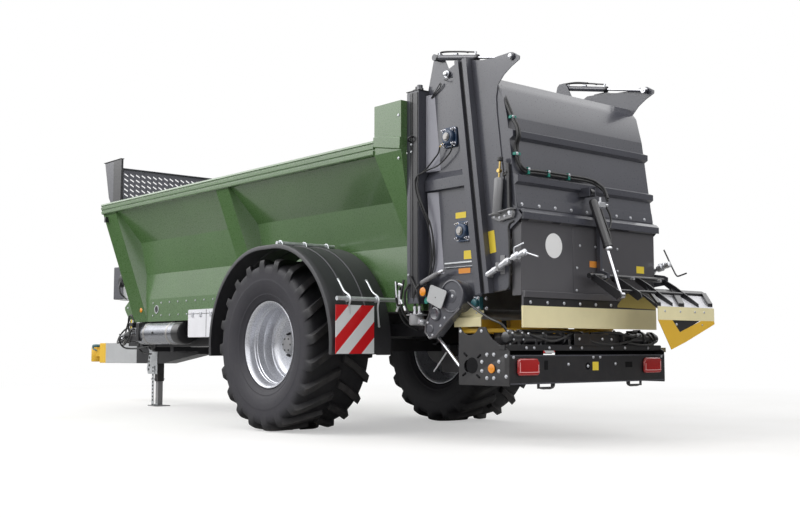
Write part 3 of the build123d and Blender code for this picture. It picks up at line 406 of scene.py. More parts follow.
rubber = tyreFinish("rubber")
hoseRubber = finish("hoseRubber", (.014, .014, .015), .42, spread=.2, bump=.05)
bareSteel = finish("bareSteel", (.36, .35, .34), .42, metallic=.75, spread=.2, patch=4, grain=70, bump=.12)
zinc = finish("zinc", (.62, .63, .66), .33, metallic=.8, spread=.1, patch=9, grain=120, bump=.04)
tankSteel = finish("tankSteel", (.3, .31, .34), .26, metallic=.85, spread=.1, patch=5, grain=120, bump=.02)
galvanised = finish("galvanised", (.6, .62, .64), .38, metallic=.6, spread=.14, patch=14, grain=60, bump=.05)
chrome = finish("chrome", (.56, .56, .59), .18, metallic=1.0, spread=.02, grain=300, bump=0.0)
yellowPaint = finish("yellowPaint", (.8, .48, .035), .36, spread=.07, dust=.06)
creamStrip = finish("creamStrip", (.84, .76, .46), .5, spread=.06, patch=3, dust=.08)
lampGlow = finish("lampGlow", (.85, .42, .42), .2, spread=.04, bump=0)
brownSheet = finish("brownSheet", (.16, .13, .07), .5, dust=.1)
# painted shade: cream darkened to mustard for a cream plate that lies in shade
mustardPaint = finish("mustardPaint", (.42, .33, .1), .45, spread=.12, dust=.05)
lampRed = finish("lampRed", (.42, .018, .018), .12, spread=.08, coat=1.0)
orangeGlass = finish("orangeGlass", (.9, .3, .005), .14, spread=.05, coat=1.0)
whiteDecal = finish("whiteDecal", (.88, .88, .88), .42, spread=.02)
decalYellow = finish("decalYellow", (.82, .62, .05), .42, spread=.03)
decalOrange = finish("decalOrange", (.8, .3, .04), .42, spread=.03)
blueFitting = finish("blueFitting", (.018, .045, .1), .36, coat=.3)
tealFitting = finish("tealFitting", (.015, .1, .12), .4, coat=.2)
clipGreen = finish("clipGreen", (.01, .22, .17), .4)
brass = finish("brass", (.62, .45, .16), .3, metallic=.9)
paleSheet = finish("paleSheet", (.8, .8, .84), .38, spread=.06, patch=3, dust=.04)
dullGrey = finish("dullGrey", (.26, .26, .27), .45, spread=.1, dust=.05)


def paintedBar(name):
    # the drawbar's paint in stretches along X: black under the body, grey at the jack, yellow at the coupling
    mat, tree, shader, coords = newFinish(name)
    axes = objectAxes(tree, coords)
    blotch = addNoise(tree, coords, 5, 3.0)
    grey = mixed(tree, blotch, (.42, .43, .44), (.52, .53, .54))
    black = mixed(tree, blotch, (.01, .01, .013), (.022, .022, .026))
    yellow = mixed(tree, blotch, (.76, .46, .03), (.86, .54, .045))
    ahead = maths(tree, "GREATER_THAN", axes["X"], at(5.18))
    tip = maths(tree, "GREATER_THAN", axes["X"], at(6.15))
    tree.links.new(mixed(tree, tip, mixed(tree, ahead, black, grey), yellow), shader.inputs["Base Color"])
    shader.inputs["Roughness"].default_value = .4
    return mat


barPaint = paintedBar("barPaint")

paleGuard = finish("paleGuard", (.13, .13, .16), .34, coat=.3, spread=.08, dust=.04)

# the record's slot that each finish usually belongs to; a finish left out here has none
finishesOfSlot = {"green_paint": (greenPaint,), "cream_yellow": (creamStrip,), "lamp_red": (lampRed,),
                  "tyre_rubber": (rubber,), "rim_paint": (rimSilver,), "guard_plastic": (plasticBlack,),
                  "silver_metal": (galvanised,), "grey_paint": (greyPaint,),
                  "dark_paint": (graphitePaint, paleGraphite, panelPaint, paleGuard, dullGrey),
                  "black_paint": (blackPaint, holeBlack, hoseRubber),
                  "bare_steel": (bareSteel, zinc, chrome, brass),
                  "hi_yellow": (yellowPaint, mustardPaint, decalYellow, decalOrange)}
slotOf = {mat.name: slot for slot, mats in finishesOfSlot.items() for mat in mats}


def stripedSheet(name, node, side, period=.282):
    # reflective bands at 45 degrees: the share (height + side * y) / period, red in its upper half
    low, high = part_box(node)
    start = low[2] + (low[1] if side > 0 else -high[1])
    mat, tree, shader, coords = newFinish(name)
    axes = objectAxes(tree, coords)
    along = maths(tree, "ADD", axes["Z"], maths(tree, "MULTIPLY", axes["Y"], side))
    band = maths(tree, "FRACT", maths(tree, "DIVIDE", maths(tree, "SUBTRACT", along, start), period))
    red = maths(tree, "GREATER_THAN", band, .5)
    grain = addNoise(tree, coords, 260, 2.0)
    pale = mixed(tree, grain, (.74, .76, .78), (.84, .85, .86))
    bold = mixed(tree, grain, (.62, .008, .012), (.74, .014, .018))
    tree.links.new(mixed(tree, red, pale, bold), shader.inputs["Base Color"])
    shader.inputs["Roughness"].default_value = .34
    shader.inputs["Coat Weight"].default_value = .4
    return mat


# view, light and floor

view = {"place": (-10.216, 6.95, .762), "pitch": 94.82, "turn": -130.44, "lens": 48.1}
eye = bpy.data.objects.new("eye", bpy.data.cameras.new("eye"))
bpy.context.scene.collection.objects.link(eye)
eye.location = view["place"]
eye.rotation_euler = (radians(view["pitch"]), 0, radians(view["turn"]))
eye.data.lens = view["lens"]
eye.data.sensor_width = 36
eye.data.clip_end = 200
bpy.context.scene.camera = eye
bpy.context.scene.view_settings.view_transform = "Standard"

light = {"sky": .66, "key": 1380, "rear": 460, "front": 420, "floorGlow": .42,
         "lean": .22, "dimBelow": .08, "brightAbove": .4, "horizon": .22, "zenith": 1.9}


def softBox(name, place, target, size, power):
    data = bpy.data.lights.new(name, "AREA")
    data.shape = "RECTANGLE"
    data.size, data.size_y = size
    data.energy = power
    lamp = bpy.data.objects.new(name, data)
    bpy.context.scene.collection.objects.link(lamp)
    lamp.location = place
    lamp.rotation_euler = (Vector(place) - Vector(target)).to_track_quat("Z", "Y").to_euler()
    return lamp


softBox("keyLight", (3.0, 13.5, 12.0), (-.5, 0, 1.2), (12, 9), light["key"])
softBox("rearLight", (-15.0, -1.0, 8.0), (-3.5, 0, 1.4), (10, 8), light["rear"])
softBox("frontLight", (11.0, 8.0, 9.0), (2.0, 0, 1.5), (10, 8), light["front"])

sky = bpy.data.worlds.new("sky")
bpy.context.scene.world = sky
sky.use_nodes = True
skyTree = sky.node_tree
rays = skyTree.nodes.new("ShaderNodeLightPath")
seen = maths(skyTree, "MAXIMUM", rays.outputs["Is Camera Ray"], rays.outputs["Is Transmission Ray"])
way = skyTree.nodes.new("ShaderNodeSeparateXYZ")
skyTree.links.new(skyTree.nodes.new("ShaderNodeTexCoord").outputs["Generated"], way.inputs["Vector"])
# mirrored rays meet a dark horizon and a bright zone above it, lower on the left than on the right
climb = maths(skyTree, "ADD", way.outputs["Z"], maths(skyTree, "MULTIPLY", way.outputs["Y"], light["lean"]))
mirrorSky = mapped(skyTree, climb, light["dimBelow"], light["brightAbove"], light["horizon"], light["zenith"])
plain = mapped(skyTree, seen, 0, 1, light["sky"], 1.0)
backdrop = skyTree.nodes["Background"]
backdrop.inputs["Color"].default_value = (1, 1, 1, 1)
glossy = rays.outputs["Is Glossy Ray"]
strength = maths(skyTree, "ADD", maths(skyTree, "MULTIPLY", glossy, mirrorSky),
                 maths(skyTree, "MULTIPLY", maths(skyTree, "SUBTRACT", 1.0, glossy), plain))
skyTree.links.new(strength, backdrop.inputs["Strength"])

# floor: pale and matt, with a little glow of its own to the camera so that it meets the backdrop
floorMat, floorTree, floorShader, floorCoords = newFinish("paleFloor")
floorRays = floorTree.nodes.new("ShaderNodeLightPath")
reach = floorTree.nodes.new("ShaderNodeVectorMath")
reach.operation = "LENGTH"
floorTree.links.new(floorCoords.outputs["Object"], reach.inputs[0])
away = mapped(floorTree, reach.outputs["Value"], 5.0, 12.5, 0, 1)
floorTone = mixed(floorTree, mapped(floorTree, addNoise(floorTree, floorCoords, .8, 5.0), .3, .7, 0, 1),
                  (.58, .575, .56), (.64, .635, .63))
floorTree.links.new(mixed(floorTree, away, floorTone, (0, 0, 0)), floorShader.inputs["Base Color"])
floorShader.inputs["Roughness"].default_value = .9
floorShader.inputs["Specular IOR Level"].default_value = 0.0
floorShader.inputs["Emission Color"].default_value = (1, 1, 1, 1)
glow = mapped(floorTree, away, 0, 1, light["floorGlow"], 1.0)
floorTree.links.new(maths(floorTree, "MULTIPLY", floorRays.outputs["Is Camera Ray"], glow),
                    floorShader.inputs["Emission Strength"])
floorMesh = bpy.data.meshes.new("floor")
floorMesh.from_pydata([(-60, -60, -.002), (60, -60, -.002), (60, 60, -.002), (-60, 60, -.002)], [],
                      [[0, 1, 2, 3]])
floor = bpy.data.objects.new("floor", floorMesh)
floorMesh.materials.append(floorMat)
bpy.context.scene.collection.objects.link(floor)
print("view, light and floor ready")


# tyres: chevron lugs as a height over (turn, place across the tread)

tyre = {"count": 20, "lugHalf": .145, "shoulderHalf": .19, "slope": .028, "sweep": .264, "bow": 1.2}

# rows from the middle outwards: across, carcass radius, lug radius
tyreRows = np.array([
    (0.0, .762, .762), (.006, .762, .762), (.012, .762, .801), (.02, .762, .8045), (.05, .762, .805),
    (.085, .762, .805), (.12, .761, .805), (.155, .761, .805), (.19, .76, .805), (.222, .759, .8045),
    (.252, .757, .804), (.28, .754, .803), (.303, .75, .801), (.32, .744, .798), (.334, .734, .792),
    (.342, .722, .778), (.347, .707, .76), (.3495, .69, .738), (.3505, .672, .712), (.3505, .655, .684),
    (.35, .64, .658), (.3495, .622, .628), (.349, .61, .61), (.35, .604, .604), (.3495, .598, .598),
    (.347, .57, .57), (.341, .54, .54), (.333, .512, .512), (.324, .488, .488), (.318, .478, .478),
    (.3185, .47, .47), (.313, .462, .462), (.303, .448, .448), (.295, .436, .436), (.293, .428, .428),
    (.286, .42, .42), (.272, .414, .414), (.27, .4105, .4105), (.27, .3895, .3895)])


def tyrePart(side):
    half = tyreRows
    across = np.concatenate([-half[:0:-1, 0], half[:, 0]])
    carcass = np.concatenate([half[:0:-1, 1], half[:, 1]])
    lug = np.concatenate([half[:0:-1, 2], half[:, 2]])
    reach = np.minimum(np.abs(across), .36)
    h, e = tyre["lugHalf"], tyre["slope"]
    edges = np.array([.25 - h, .25 + h, .75 - h, .75 + h])
    cells = np.sort(np.concatenate([edges - e, edges, edges + e, [0.0, .25, .5, .75]]))
    turn = (np.arange(tyre["count"])[:, None] + cells[None]).ravel()
    cell = np.tile(cells, tyre["count"])
    left = across[:, None] >= 0
    middle = np.where(left, .25, .75)
    away = (cell[None] - middle + .5) % 1 - .5  # distance from this side's lug, in pitches
    grow = np.interp(reach, [.02, .34], [h, tyre["shoulderHalf"]])[:, None]
    size = np.abs(away)
    widened = np.where(size <= h + e, size * (grow + e) / (h + e),
                       .5 - (.5 - size) * (.5 - grow - e) / (.5 - h - e))
    shifted = np.sign(away) * widened
    on = np.clip((h + e - size) / (2 * e), 0, 1)
    on = np.round(on * 2) / 2
    radius = carcass[:, None] + (lug - carcass)[:, None] * on
    skew = tyre["sweep"] * (reach / .34) ** tyre["bow"]
    pitch = 2 * pi / tyre["count"]
    angle = (turn[None] - away + shifted - .25) * pitch - skew[:, None]
    x = at(0) - radius * np.cos(angle)
    z = hubZ + radius * np.sin(angle)
    y = side * trackY + np.broadcast_to((side * across)[:, None], x.shape)
    return grid(np.stack([x, y, z], -1), closeV=True)


def closedRing(part, rows):
    # joins the last row of a turned sheet to its first, so that the ring is closed
    points, faces = part
    n = len(points) // rows
    last = (rows - 1) * n
    step = [[last + i, i, (i + 1) % n, last + (i + 1) % n] for i in range(n)]
    return points, faces + step


# silver rim: rolled lips, bead seats, a deep barrel and a dished disc
rimOut = [
    (.286, .4005), (.2865, .4065), (.284, .409), (.276, .409), (.2715, .404), (.2715, .3885), (.14, .3885),
    (.1, .376), (-.1, .376), (-.14, .3885), (-.2715, .3885), (-.2715, .404), (-.276, .409), (-.284, .409),
    (-.2865, .4065), (-.286, .4005), (-.281, .392), (-.272, .381), (-.16, .379), (-.12, .366), (-.062, .366),
    (-.075, .3), (-.082, .16), (-.14, .158), (-.14, .06), (-.02, .06), (-.02, .1125), (-.048, .118),
    (-.052, .14), (-.05, .2), (-.032, .27), (-.022, .305), (-.004, .325), (.012, .331), (.014, .34),
    (.02, .3445), (.1, .35), (.108, .3545), (.172, .356), (.176, .3615), (.196, .364), (.202, .37),
    (.24, .3735), (.262, .379), (.276, .388)]


def rimPart(side):
    part = lathe([(side * a, r) for a, r in rimOut], (at(0), side * trackY, hubZ), (0, 1, 0), 96)
    return closedRing(part, len(rimOut))


def wheelBits(side):
    # hub cover, wheel nuts on studs, and the valve
    y0 = side * trackY
    hub = lathe([(side * -.02, 0), (side * -.02, .112), (side * .004, .108), (side * .012, .094),
                 (side * .06, .088), (side * .078, .074), (side * .084, .03), (side * .084, 0)],
                (at(0), y0, hubZ), (0, 1, 0), 40)
    turn = np.arange(10) * 2 * pi / 10
    seats = np.stack([at(0) + .168 * np.cos(turn), np.full(10, y0 - side * .05),
                      hubZ + .168 * np.sin(turn)], -1)
    nuts = copies(hexHead(.017, .024, .003), seats, (0, side, 0))
    studs = copies(domeHead(.01, .04, 10), seats, (0, side, 0))
    capTurn = np.arange(6) * pi / 3
    capSeats = np.stack([at(0) + .06 * np.cos(capTurn), np.full(6, y0 + side * .08),
                         hubZ + .06 * np.sin(capTurn)], -1)
    capBolts = copies(hexHead(.007, .006, .001), capSeats, (0, side, 0))
    valve = rod((at(0) - .2, y0 - side * .02, hubZ + .16), (at(0) - .215, y0 + side * .045, hubZ + .172),
                .006, 10)
    return hub, joined(nuts, studs, capBolts), valve


for side, word in flanks:
    wheel = "wheel_" + word
    body = closedRing(tyrePart(side), 2 * len(tyreRows) - 1)
    piece("tyre_" + word + "_tread", body, rubber, wheel, replaces=("tyre_" + word,), smoothAngle=38)
    piece("rim_" + word + "_steel", rimPart(side), rimSilver, wheel, replaces=("rim_" + word,),
          smoothAngle=28)
    hub, nuts, valve = wheelBits(side)
    piece("hub_" + word, hub, dullGrey, wheel, smoothAngle=30)
    piece("nuts_" + word, nuts, blackPaint, wheel, smoothAngle=30)
    piece("valve_" + word, valve, brass, wheel)
print("wheels made")


# mudguards: a bent sheet with two beads and a rolled outer lip

guard = {"radius": .925, "frontX": .08, "rearX": -.12, "inner": .745, "thick": .006,
         "frontFoot": .695, "rearFoot": .715, "bead": .007}


def guardPart(side):
    g = guard
    r = g["radius"]
    startTurn = -math.asin((hubZ - g["frontFoot"]) / r)
    endTurn = pi + math.asin((hubZ - g["rearFoot"]) / r)
    first = np.linspace(startTurn, pi / 2, 40)
    second = np.linspace(pi / 2, endTurn, 40)
    x = np.concatenate([at(g["frontX"]) + r * np.cos(first), at(g["rearX"]) + r * np.cos(second)])
    z = np.concatenate([hubZ + r * np.sin(first), hubZ + r * np.sin(second)])
    out = np.concatenate([np.stack([np.cos(first), np.sin(first)], -1),
                          np.stack([np.cos(second), np.sin(second)], -1)])
    # section: place across, rise from the sheet; two beads, then the lip turned down
    outside = [(g["inner"], 0)]
    for middle in (.985, 1.185):
        outside += [(middle - .02, 0), (middle - .013, g["bead"]), (middle + .013, g["bead"]),
                    (middle + .02, 0)]
    outside += [(1.352, 0), (1.358, .007), (1.41, .007), (1.417, .004), (1.42, -.003), (1.42, -.03),
                (1.416, -.034), (1.411, -.03), (1.409, -.006)]
    inside = [(g["inner"], -g["thick"])]
    for middle in (.985, 1.185):
        inside += [(middle - .018, -g["thick"]), (middle - .011, g["bead"] - g["thick"]),
                   (middle + .011, g["bead"] - g["thick"]), (middle + .018, -g["thick"])]
    inside += [(1.354, -g["thick"])]
    section = np.array(outside + inside[::-1])
    base = np.stack([x, z], -1)[:, None] + out[:, None] * section[None, :, 1:]
    y = np.broadcast_to(side * section[None, :, 0], base.shape[:2])
    points = np.stack([base[..., 0], y, base[..., 1]], -1)
    return capped(points)


def guardStays(side):
    # cross tubes on clamps, and the pair of bent straps at the back
    topZ = hubZ + guard["radius"] + .022
    topX = at(-.125)
    stayX = at(guard["rearX"]) - math.sqrt(guard["radius"] ** 2 - .395 ** 2) - .134
    stayZ = hubZ + .395
    s = side
    parts = [rod((topX, s * .705, topZ), (topX, s * 1.372, topZ), .019, 20),
             rod((stayX, s * .69, stayZ), (stayX, s * 1.395, stayZ), .019, 20)]
    for y in (.8, 1.06, 1.335):
        parts.append(lathe([(-.014, .024), (.014, .024), (.014, .019), (-.014, .019)], (topX, s * y, topZ),
                           (0, 1, 0), 20))
        parts.append(box(topX - .045, topX + .045, s * y - .013, s * y + .013, topZ - .026, topZ - .018))
        parts.append(hose([(topX - .045, s * y, topZ - .02), (topX - .03, s * y, topZ + .012),
                           (topX, s * y, topZ + .024), (topX + .03, s * y, topZ + .012),
                           (topX + .045, s * y, topZ - .02)], .006, 5))
    for y in (.95, 1.27):
        strap = [(stayX + .15, s * y, stayZ + .175), (stayX + .126, s * y, stayZ + .15),
                 (stayX + .06, s * y, stayZ + .07), (stayX - .01, s * y, stayZ + .03),
                 (stayX - .03, s * y, stayZ - .01), (stayX - .014, s * y, stayZ - .06),
                 (stayX + .004, s * (y - .02), stayZ - .15), (stayX + .012, s * (y - .035), stayZ - .235)]
        parts.append(tube(smoothPath(strap, 5), .0085, 8))
        parts.append(lathe([(-.016, .028), (.016, .028), (.016, .019), (-.016, .019)],
                           (stayX, s * y, stayZ), (0, 1, 0), 20))
        parts.append(copies(hexHead(.01, .009), [strap[0], strap[-1]], (-1, 0, .35)))
    parts.append(box(stayX - .012, stayX + .03, s * .686, s * .7, stayZ - .055, stayZ + .055))
    return joined(*parts)


for side, word in flanks:
    piece("guard_" + word, guardPart(side), plasticBlack, replaces=("mudguard_" + word,), smoothAngle=40)
    piece("guard_stays_" + word, guardStays(side), galvanised, smoothAngle=35)
print("mudguards made")


# helpers for fittings

def hoses(name, runs, radius, body="chassis"):
    return piece(name, [line(run, radius) for run in runs], hoseRubber, body)


def plateXZ(outline, y0, y1):
    return slabOf([(at(x), z) for x, z in outline], y0, y1, "y")


def bolts(points, direction, radius=.01, height=.008):
    return copies(hexHead(radius, height, .002), [(at(x), y, z) for x, y, z in points], direction)


def line(points, radius, steps=6, sides=8):
    # hose or wire through points given ahead of the axle
    return hose([(at(x), y, z) for x, y, z in points], radius, steps, sides)


def pin(start, end, radius, sides=16):
    return rod((at(start[0]), start[1], start[2]), (at(end[0]), end[1], end[2]), radius, sides)


def turnedRod(start, end, profile, steps=24):
    # lathe along a line; profile rows are (share of the length, radius)
    a = np.array([at(start[0]), start[1], start[2]])
    b = np.array([at(end[0]), end[1], end[2]])
    length = np.linalg.norm(b - a)
    return lathe([(share * length, r) for share, r in profile], a, b - a, steps)


def roundedPlate(corners, y0, y1, radius=.02, steps=4):
    # flat plate in the side plane whose corners are rounded by quadratic curves
    p = np.asarray(corners, float)
    out = []
    for before, here, after in zip(np.roll(p, 1, 0), p, np.roll(p, -1, 0)):
        a = here + (before - here) / np.linalg.norm(before - here) * radius
        b = here + (after - here) / np.linalg.norm(after - here) * radius
        t = np.linspace(0, 1, steps)[:, None]
        out.append((1 - t) ** 2 * a + 2 * t * (1 - t) * here + t ** 2 * b)
    return plateXZ(np.vstack(out), y0, y1)


# beater housing: flange bearings, bent front edge, grease lines, plates and stickers

bearing = {"half": .086, "boss": .06, "boltHalf": .06, "places": ((-1.911, 2.552), (-2.07, 1.738))}


def bearingParts():
    flange, studs, shaft = [], [], []
    for x, z in bearing["places"]:
        h = bearing["half"]
        flange.append(roundedPlate([(x - h, z - h), (x + h, z - h), (x + h, z + h), (x - h, z + h)], .807,
                                   .829, .03))
        centre = (at(x), .829, z)
        flange.append(lathe([(-.004, .074), (.004, .074), (.018, bearing["boss"] + .006),
                             (.03, bearing["boss"]), (.034, .054), (.034, .036), (.022, .036)], centre,
                            (0, 1, 0), 28))
        shaft.append(lathe([(-.01, .028), (.052, .028), (.055, .024), (.055, 0)], centre, (0, 1, 0), 20))
        shaft.append(lathe([(.02, .036), (.044, .036), (.044, .028)], centre, (0, 1, 0), 20))
        b = bearing["boltHalf"]
        corners = [(x - b, .829, z - b), (x + b, .829, z - b), (x + b, .829, z + b), (x - b, .829, z + b)]
        studs.append(bolts(corners, (0, 1, 0), .0145, .022))
        studs.append(copies(domeHead(.0095, .038, 10), [(at(px), py, pz) for px, py, pz in corners],
                            (0, 1, 0)))
    nipple = rod((at(-1.85), .845, 2.505), (at(-1.822), .858, 2.478), .007, 8)
    return joined(*flange), joined(*studs), joined(*shaft), nipple


flangePart, studPart, shaftPart, nipplePart = bearingParts()
for word, turn in (("left", lambda part: part), ("right", mirrored)):
    piece("bearing_flanges_" + word, turn(flangePart), blueFitting, bevel=.002)
    piece("bearing_studs_" + word, turn(studPart), chrome)
    piece("bearing_shafts_" + word, turn(shaftPart), bareSteel)
piece("grease_nipple", nipplePart, brass)

# grease lines from the upper bearing down beside the gate post
greaseRuns = [[(-1.815, .85, 2.48), (-1.79, .846, 2.43), (-1.74, .85, 2.385), (-1.69, .862, 2.335),
               (-1.645, .88, 2.29)],
              [(-1.975, .848, 2.48), (-1.945, .85, 2.42), (-1.88, .85, 2.37), (-1.79, .852, 2.322),
               (-1.7, .864, 2.302), (-1.645, .886, 2.28)],
              [(-1.645, .88, 2.29), (-1.62, .925, 2.25), (-1.606, .932, 2.19), (-1.622, .93, 2.09),
               (-1.676, .915, 1.96), (-1.722, .88, 1.83), (-1.742, .855, 1.65), (-1.736, .85, 1.48),
               (-1.7, .86, 1.37), (-1.665, .88, 1.3)],
              [(-1.645, .886, 2.28), (-1.612, .938, 2.24), (-1.598, .94, 2.18), (-1.612, .936, 2.08),
               (-1.66, .922, 1.96), (-1.7, .89, 1.83), (-1.716, .865, 1.65), (-1.708, .86, 1.48),
               (-1.68, .868, 1.36), (-1.64, .885, 1.29)],
              [(-1.633, .935, 2.24), (-1.63, .94, 2.13), (-1.69, .912, 1.93), (-1.729, .868, 1.77),
               (-1.729, .856, 1.56), (-1.695, .862, 1.4)]]
piece("grease_lines", [line(run, .0065, 8, 8) for run in greaseRuns], hoseRubber)

# wire loop at the top of the housing and the linch pin of the hood pivot
loopRun = [(-1.64, .812, 2.915), (-1.7, .822, 2.955), (-1.79, .83, 3.03), (-1.806, .832, 3.04),
           (-1.802, .828, 3.012), (-1.72, .82, 2.958), (-1.65, .812, 2.905)]
pinWire = [(-1.835, .815, 3.07), (-1.86, .835, 3.052), (-1.91, .85, 3.048), (-1.945, .866, 3.06)]
piece("housing_wires", [line(loopRun, .0045), line(pinWire, .004)], blackPaint)
pivotParts = []
for s in (1, -1):
    pivotParts.append(lathe([(0, .03), (.006, .03), (.006, .022), (.026, .021), (.03, .015), (.03, 0)],
                            (at(-1.948), s * .889, 3.08), (0, s, 0), 24))
piece("hood_pivot_caps", pivotParts, zinc)

# bent flanges along the housing's front edge, one above and one below the ledge, in a paler graphite: a
# painted highlight where they catch the light
edgeFlange = {"out": .03, "thick": .005}
housingSide = .8075


def flangeStrip(rows):
    # rows: back x, front x, height; the front edge stands out from the plate
    ring = []
    for back, front, z in rows:
        d = edgeFlange["out"]
        t = edgeFlange["thick"]
        ring.append([(at(back), housingSide, z), (at(back) + .004, .8095, z), (at(front), .8095 + d, z),
                     (at(front), .8095 + d - t, z), (at(front), housingSide, z)])
    return capped(np.array(ring))


stripUpper = flangeStrip([(-1.706, -1.625, 2.96), (-1.742, -1.625, 2.64), (-1.782, -1.625, 2.285)])
stripLower = flangeStrip([(-1.752, -1.64, 2.105), (-1.77, -1.655, 1.9), (-1.82, -1.71, 1.395)])
piece("housing_edges_left", [stripUpper, stripLower], paleGraphite, bevel=.002)
piece("housing_edges_right", mirrored(joined(stripUpper, stripLower)), paleGraphite, bevel=.002)

# inspection panel with two bright folds above the gear case
panelParts = joined(slab(-2.225, -1.843, housingSide, .812, 1.38, 1.486),
                    slab(-2.225, -1.843, housingSide, .822, 1.437, 1.443))
piece("housing_panel", panelParts, graphitePaint, bevel=.0015)
piece("panel_folds", [slab(-2.225, -1.841, housingSide, .826, 1.474, 1.487),
                      slab(-2.225, -1.841, .8122, .8232, 1.4435, 1.448)], galvanised, bevel=.001)


def sticker(name, x0, x1, z0, z1, y, material, body="chassis", tilt=0.0):
    # blank label: a thin sheet with rounded corners, slightly turned
    cx, cz = (x0 + x1) / 2, (z0 + z1) / 2
    corners = [(x0, z0), (x1, z0), (x1, z1), (x0, z1)]
    turned = [(cx + (x - cx) * cos(tilt) - (z - cz) * sin(tilt),
               cz + (x - cx) * sin(tilt) + (z - cz) * cos(tilt)) for x, z in corners]
    return piece(name, roundedPlate(turned, y, y + .0012, .006), material, body)


labelFace = .8082
sticker("label_upper", -2.089, -1.963, 1.853, 1.903, labelFace, decalYellow)
sticker("label_lower", -2.152, -2.06, 1.505, 1.576, labelFace, decalYellow)
sticker("label_panel", -2.14, -2.0, 1.388, 1.432, .8122, decalOrange)

# gate post: outer face with a light strip and a dark channel

postTop, postFoot, postFace = 2.985, 1.2, .9202
for s, word in flanks:
    channel = joined(slab(-1.612, -1.513, s * postFace, s * .9222, postFoot, postTop),
                     slab(-1.545, -1.54, s * postFace, s * .9262, postFoot, postTop),
                     slab(-1.612, -1.606, s * postFace, s * .9262, postFoot, postTop))
    piece("post_channel_" + word, channel, blackPaint)
    flank = slab(-1.51, -1.471, s * postFace, s * .9232, postFoot, postTop)
    piece("post_flank_" + word, flank, graphitePaint, bevel=.001)
capParts = []
for s in (1, -1):
    capParts.append(slab(-1.628, -1.462, s * .8, s * .926, 3.001, 3.007))
    capParts.append(copies(hexHead(.017, .022, .003),
                           [(at(-1.5), s * .865, 3.007), (at(-1.6), s * .865, 3.007)]))
    capParts.append(lathe([(0, .034), (.016, .034), (.016, .022), (.042, .02), (.046, .01), (.046, 0)],
                          (at(-1.545), s * .865, 3.007), (0, 0, 1), 20))
piece("post_caps", capParts, blackPaint)
piece("post_bolts", bolts([(-1.532, .9262, 2.532), (-1.532, .9262, 2.468), (-1.488, .9232, 1.4),
                           (-1.488, .9232, 1.3)], (0, 1, 0), .008), zinc)

# gear case: rounded rim, machined face, arm ridge, guard plate on top

caseC = (-2.035, 1.195)


def gearCase():
    c = (at(caseC[0]), 0, caseC[1])
    rim = lathe([(.812, .128), (.85, .134), (.905, .142), (.922, .142), (.932, .136), (.934, .126),
                 (.928, .118), (.914, .114), (.914, .06), (.926, .056), (.93, .05), (.93, 0)], c, (0, 1, 0),
                56)
    ridge = tube([(at(-2.135), .926, 1.092), (at(-1.985), .93, .985), (at(-1.842), .928, .868),
                  (at(-1.765), .926, .852), (at(-1.712), .924, .905), (at(-1.716), .924, .965),
                  (at(-1.8), .926, 1.13)], .01, 8)
    boss = lathe([(.845, .066), (.925, .062), (.94, .056), (.944, .046), (.938, .036), (.938, 0)],
                 (at(-1.842), 0, 1.055), (0, 1, 0), 32)
    small = lathe([(.845, .04), (.928, .038), (.934, .03), (.934, 0)], (at(-1.775), 0, .93), (0, 1, 0), 24)
    return joined(rim, boss, small), ridge


caseRim, caseRidge = gearCase()
piece("gear_case_rim", caseRim, graphitePaint, bevel=.0015)
piece("gear_case_ridge", caseRidge, panelPaint)
ring = np.linspace(0, 2 * pi, 9)[:-1]
caseBolts = [(caseC[0] + .1 * cos(a), .914, caseC[1] + .1 * sin(a)) for a in ring]
piece("gear_case_bolts", [bolts(caseBolts + [(-2.048, .93, 1.197)], (0, 1, 0), .01),
                          bolts([(-1.95, .926, 1.02), (-1.9, .926, .955), (-1.74, .926, .985),
                                 (-1.8, .926, .88)], (0, 1, 0), .008)], zinc)
guardPlate = roundedPlate([(-1.812, 1.303), (-2.013, 1.236), (-1.938, 1.089), (-1.758, 1.164)], .952, .96,
                          .022)
piece("case_guard_plate", guardPlate, greyPaint, slotName="silver_metal", bevel=.002)
piece("case_guard_stud", [pin((-1.873, .9, 1.19), (-1.873, .961, 1.19), .006),
                                pin((-1.97, .88, 1.215), (-1.97, .953, 1.215), .012)], blackPaint)
reflectorPlaces = {"case": (-1.683, .93, 1.247, .038), "console": (-2.552, .9895, .611, .036),
                   "front": (3.878, .712, 1.249, .031)}


def reflectorPart(x, y, z, r):
    return lathe([(0, r), (.004, r), (.007, r * .92), (.009, r * .55), (.0095, 0)], (at(x), y, z),
                 (0, 1, 0), 28)


piece("reflector_case", reflectorPart(*reflectorPlaces["case"]), orangeGlass)
piece("reflector_bracket", [slab(-1.72, -1.65, .915, .9298, 1.205, 1.262),
                            pin((-1.69, .8, 1.225), (-1.69, .92, 1.225), .012)], blackPaint)
piece("reflector_console", reflectorPart(*reflectorPlaces["console"]), orangeGlass)

# damper over the case, motor with two couplings and their hoses
damper = turnedRod((-1.61, .89, 1.322), (-1.84, .89, 1.402), [(0, .014), (.02, .021), (.86, .021),
                                                              (.9, .012), (1, .012)])
damperEnd = turnedRod((-1.838, .89, 1.401), (-1.905, .89, 1.42),
                      [(0, .014), (.1, .017), (.55, .017), (.6, .012), (.9, .012), (1, 0)])
piece("damper_body", damper, dullGrey)
piece("damper_end", damperEnd, zinc)
motor = [turnedRod((-1.57, .9, .965), (-1.57, .9, 1.05), [(0, 0), (0, .058), (.1, .064), (.8, .064),
                                                          (.95, .058), (1, .058), (1, 0)]),
         slab(-1.65, -1.49, .85, .95, 1.048, 1.06)]
piece("motor_block", motor, dullGrey, bevel=.002)
couplings = []
for x in (-1.553, -1.612):
    couplings.append(turnedRod((x, .905, 1.058), (x, .905, 1.135),
                               [(0, .018), (.25, .018), (.27, .014), (.6, .014), (.62, .017), (.86, .017),
                                (.9, .01), (1, .01)], 12))
couplings.append(bolts([(-1.505, .905, 1.06), (-1.635, .905, 1.06)], (0, 0, 1), .011))
